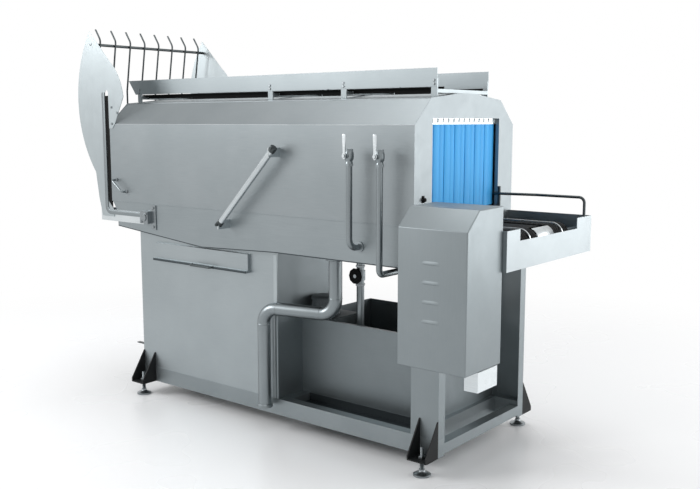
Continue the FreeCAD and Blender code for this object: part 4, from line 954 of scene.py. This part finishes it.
def makeBolts():
    parts = []
    for kind, height in (("guide", 4.0), ("plate", 4.5)):
        places = bolts[kind + "Places"]
        head = bolts[kind + "Head"]
        parts.append(shifted(hexHead(head, height, "y", -1.0), places))
        parts.append(shifted(hexHead(head, height, "y", 1.0), [(x, -y, z) for x, y, z in places]))
    parts.append(shifted(hexHead(bolts["bearingHead"], 5.5, "y", -1.0), bolts["bearingPlaces"]))
    parts.append(turned([(10.0, -452.0), (18.0, -451.0), (21.0, -448.0), (21.0, -443.9)],
                        bolts["bearingCap"], "y", 32))
    addPiece("hexagonScrews", parts, turnedSteel, sharp=30)


makeBolts()
print("screws set")


# ---- pump motor: fins round the barrel and a fan cowl

pump = {
    "x": -868.0,
    "y": -105.0,
    "barrel": 66.0,
    "fins": 28,
    "finDepth": 5.0,
}


def makePump():
    # the finned barrel's radius steps out and back with the angle, and its ends stay round
    angle = np.arange(pump["fins"] * 6) * 2 * math.pi / (pump["fins"] * 6)
    wave = np.clip(np.cos(angle * pump["fins"]) * 3, -1, 1)
    height = np.array([552.0, 556.0, 556.5, 618.0, 618.5, 621.0])
    depth = np.array([0.0, 0.0, 1.0, 1.0, 0.0, 0.0])
    radius = pump["barrel"] + depth[:, None] * pump["finDepth"] * (wave[None] - 1) / 2 + 3.0
    grid = np.empty((len(height), len(angle), 3))
    grid[:, :, 0] = pump["x"] + radius * np.cos(angle)
    grid[:, :, 1] = pump["y"] + radius * np.sin(angle)
    grid[:, :, 2] = height[:, None]
    cowl = turned([(69.0, 620.0), (71.0, 622.0), (71.0, 636.0), (64.0, 641.0), (20.0, 642.0)],
                  (pump["x"], pump["y"], 0), "z", 48)
    flange = turned([(60.0, 548.2), (74.0, 548.5), (74.0, 554.0), (66.0, 556.0)],
                    (pump["x"], pump["y"], 0), "z", 48)
    addPiece("finnedMotor", [spanGrid(grid), cowl, flange], greyPaint, sharp=40)


makePump()
print("pump finned")


# ---- control cabinet: pressed louvres and the folded body

door = {
    "louvreLeft": 96.0,
    "louvreRight": 176.0,
    "louvreDepth": 1.9,
    "louvreHeight": 15.0,
    "firstLouvre": 735.0,
    "pitch": 77.0,
}


def makeLouvres():
    # a louvre is a pressed scoop: its depth rises from the lower edge and falls to the upper one
    # with a skewed sine, and fades to nothing towards both ends with a root of a parabola
    u = np.linspace(-1, 1, 25)
    v = np.linspace(0, 1, 13)
    fade = np.clip(1 - u ** 2, 0, 1) ** 0.5
    depth = door["louvreDepth"] * np.sin(math.pi * v ** 0.55)[:, None] * fade[None]
    middle = (door["louvreLeft"] + door["louvreRight"]) / 2
    half = (door["louvreRight"] - door["louvreLeft"]) / 2
    front = np.empty((13, 25, 3))
    front[:, :, 0] = middle + half * u
    front[:, :, 1] = -660.0 - depth
    front[:, :, 2] = v[:, None] * door["louvreHeight"]
    back = front.copy()
    back[:, :, 1] = -659.6
    grid = np.concatenate([front, back[:, ::-1]], axis=1)
    scoop = spanGrid(grid)
    places = [(0, 0, door["firstLouvre"] - 0.5 + door["pitch"] * step) for step in range(4)]
    addPiece("pressedLouvres", [shifted(scoop, places)], steelCabinet, sharp=50)


makeLouvres()


cabinetBody = {
    "left": -20.0,
    "right": 300.0,
    "corners": ((-660.0, 548.0), (-393.0, 548.0), (-393.0, 1184.0), (-576.0, 1181.0),
                (-660.0, 1104.0)),
    "fold": 5.0,            # outer radius of the folded sheet
}


def makeCabinetBody():
    # the side view's outline with each corner an arc, carried along x; near both ends the outline
    # shrinks towards its middle by fold (1 - cosine) as x runs through a quarter circle
    ring = list(cabinetBody["corners"])
    flat = [(0.0, y, z) for y, z in ring]
    start = tuple((np.array(flat[0]) + np.array(flat[-1])) / 2)
    route = roundedRoute([start] + flat + [start], cabinetBody["fold"], 6)[:-1, 1:]
    centre = (route.max(axis=0) + route.min(axis=0)) / 2
    half = (route.max(axis=0) - route.min(axis=0)) / 2
    quarter = np.linspace(0, 1, 6) * math.pi / 2
    inset = cabinetBody["fold"] * (1 - np.sin(quarter))
    ahead = cabinetBody["fold"] * (1 - np.cos(quarter))
    x = np.concatenate([cabinetBody["left"] + ahead, (cabinetBody["right"] - ahead)[::-1]])
    inset = np.concatenate([inset, inset[::-1]])
    grid = np.empty((len(x), len(route), 3))
    grid[:, :, 0] = x[:, None]
    scale = 1 - inset[:, None] / half[None]
    grid[:, :, 1:] = centre + (route - centre)[None] * scale[:, None]
    addPiece("foldedCabinetBody", [spanGrid(grid)], steelCabinet, sharp=50,
             replaces=("control_cabinet",))


makeCabinetBody()
print("cabinet folded and louvres pressed")


# ---- floor, camera and lamps

studio = {
    "floorColour": "#EEEFF0",
    "floorHalf": 30.0,
    "shadowReach": (1.7, 4.2),    # metres from the middle over which the floor turns plain white
    "cameraPlace": (3.0966, -3.4071, 1.515),
    "cameraTurn": (82.165, 0.0, 38.84),
    "lens": 46.15,
    "worldStrength": 0.7,
    "mirrorShare": 0.8,           # metal sees the background nearly as white as the camera does
}


def makeFloor():
    # a flat square under the feet
    half = studio["floorHalf"]
    mesh = bpy.data.meshes.new("studioFloor")
    mesh.from_pydata([(-half, -half, 0), (half, -half, 0), (half, half, 0), (-half, half, 0)],
                     [], [(0, 1, 2, 3)])
    floor = bpy.data.objects.new("studioFloor", mesh)
    bpy.context.collection.objects.link(floor)
    material, tree, place = startMaterial("paleStudioFloor")
    patch = addNode(tree, "ShaderNodeTexNoise", inputs={
        "Vector": place, "Scale": 1.5, "Detail": 2.0}).outputs["Fac"]
    roughness = addNode(tree, "ShaderNodeMapRange", inputs={
        "Value": patch, "To Min": 0.24, "To Max": 0.32}).outputs["Result"]
    shader = addNode(tree, "ShaderNodeBsdfPrincipled", inputs={
        "Base Color": linearColour(studio["floorColour"]), "Roughness": roughness,
        "Specular IOR Level": 0.25})
    near, far = studio["shadowReach"]
    spread = addNode(tree, "ShaderNodeVectorMath", {"operation": "LENGTH"},
                     {0: place}).outputs["Value"]
    fade = addNode(tree, "ShaderNodeMapRange", {"interpolation_type": "SMOOTHSTEP"}, {
        "Value": spread, "From Min": near, "From Max": far}).outputs["Result"]
    path = addNode(tree, "ShaderNodeLightPath")
    seen = addNode(tree, "ShaderNodeMath", {"operation": "MAXIMUM"}, {
        0: path.outputs["Is Camera Ray"], 1: path.outputs["Is Glossy Ray"]}).outputs[0]
    share = addNode(tree, "ShaderNodeMath", {"operation": "MULTIPLY"},
                    {0: fade, 1: seen}).outputs[0]
    plain = addNode(tree, "ShaderNodeEmission", inputs={"Strength": 1.0})
    mixed = addNode(tree, "ShaderNodeMixShader", inputs={
        "Fac": share, 1: shader.outputs["BSDF"], 2: plain.outputs["Emission"]})
    addNode(tree, "ShaderNodeOutputMaterial", inputs={"Surface": mixed.outputs["Shader"]})
    mesh.materials.append(material)


def makeWorld():
    # white where the camera or glass looks, nearly white in the metal's reflections, and a plain
    # soft level for all other light
    world = bpy.data.worlds.new("studioWorld")
    bpy.context.scene.world = world
    world.use_nodes = True
    tree = world.node_tree
    tree.nodes.clear()
    path = addNode(tree, "ShaderNodeLightPath")
    seen = addNode(tree, "ShaderNodeMath", {"operation": "MAXIMUM"}, {
        0: path.outputs["Is Camera Ray"], 1: path.outputs["Is Transmission Ray"]}).outputs[0]
    mirror = addNode(tree, "ShaderNodeMath", {"operation": "MULTIPLY"}, {
        0: path.outputs["Is Glossy Ray"], 1: studio["mirrorShare"]}).outputs[0]
    share = addNode(tree, "ShaderNodeMath", {"operation": "MAXIMUM"},
                    {0: seen, 1: mirror}).outputs[0]
    strength = addNode(tree, "ShaderNodeMapRange", inputs={
        "Value": share, "To Min": studio["worldStrength"], "To Max": 1.0}).outputs["Result"]
    background = addNode(tree, "ShaderNodeBackground", inputs={
        "Color": (1.0, 1.0, 1.0, 1.0), "Strength": strength})
    addNode(tree, "ShaderNodeOutputWorld", inputs={"Surface": background.outputs["Background"]})


lamps = {
    "leftKey": {"place": (-3.6, -4.2, 3.4), "target": (-0.3, 0.0, 1.0), "size": (2.6, 2.0),
                "watts": 175.0},
    "endFill": {"place": (4.9, 3.9, 1.45), "target": (1.1, 0.0, 1.0), "size": (4.4, 3.6),
                "watts": 170.0},
    "topSoft": {"place": (0.2, 0.4, 5.2), "target": (0.0, 0.0, 1.5), "size": (4.0, 2.4),
                "watts": 90.0},
}


def makeLamp(name, place, target, size, watts):
    light = bpy.data.lights.new(name, "AREA")
    light.shape = "RECTANGLE"
    light.size, light.size_y = size
    light.energy = watts
    lamp = bpy.data.objects.new(name, light)
    bpy.context.collection.objects.link(lamp)
    aim = np.array(target) - np.array(place)
    flat = math.hypot(aim[0], aim[1])
    lamp.location = place
    lamp.rotation_euler = (math.atan2(flat, -aim[2]), 0.0, math.atan2(-aim[0], aim[1]))


def makeCamera():
    camera = bpy.data.cameras.new("photoCamera")
    camera.lens = studio["lens"]
    camera.sensor_width = 36.0
    camera.clip_end = 200.0
    holder = bpy.data.objects.new("photoCamera", camera)
    holder.location = studio["cameraPlace"]
    holder.rotation_euler = tuple(math.radians(angle) for angle in studio["cameraTurn"])
    bpy.context.collection.objects.link(holder)
    bpy.context.scene.camera = holder


makeFloor()
makeWorld()
for lampName, lampFacts in lamps.items():
    makeLamp(lampName, **lampFacts)
makeCamera()
bpy.context.scene.view_settings.view_transform = "Standard"
print("floor, lamps and camera placed")
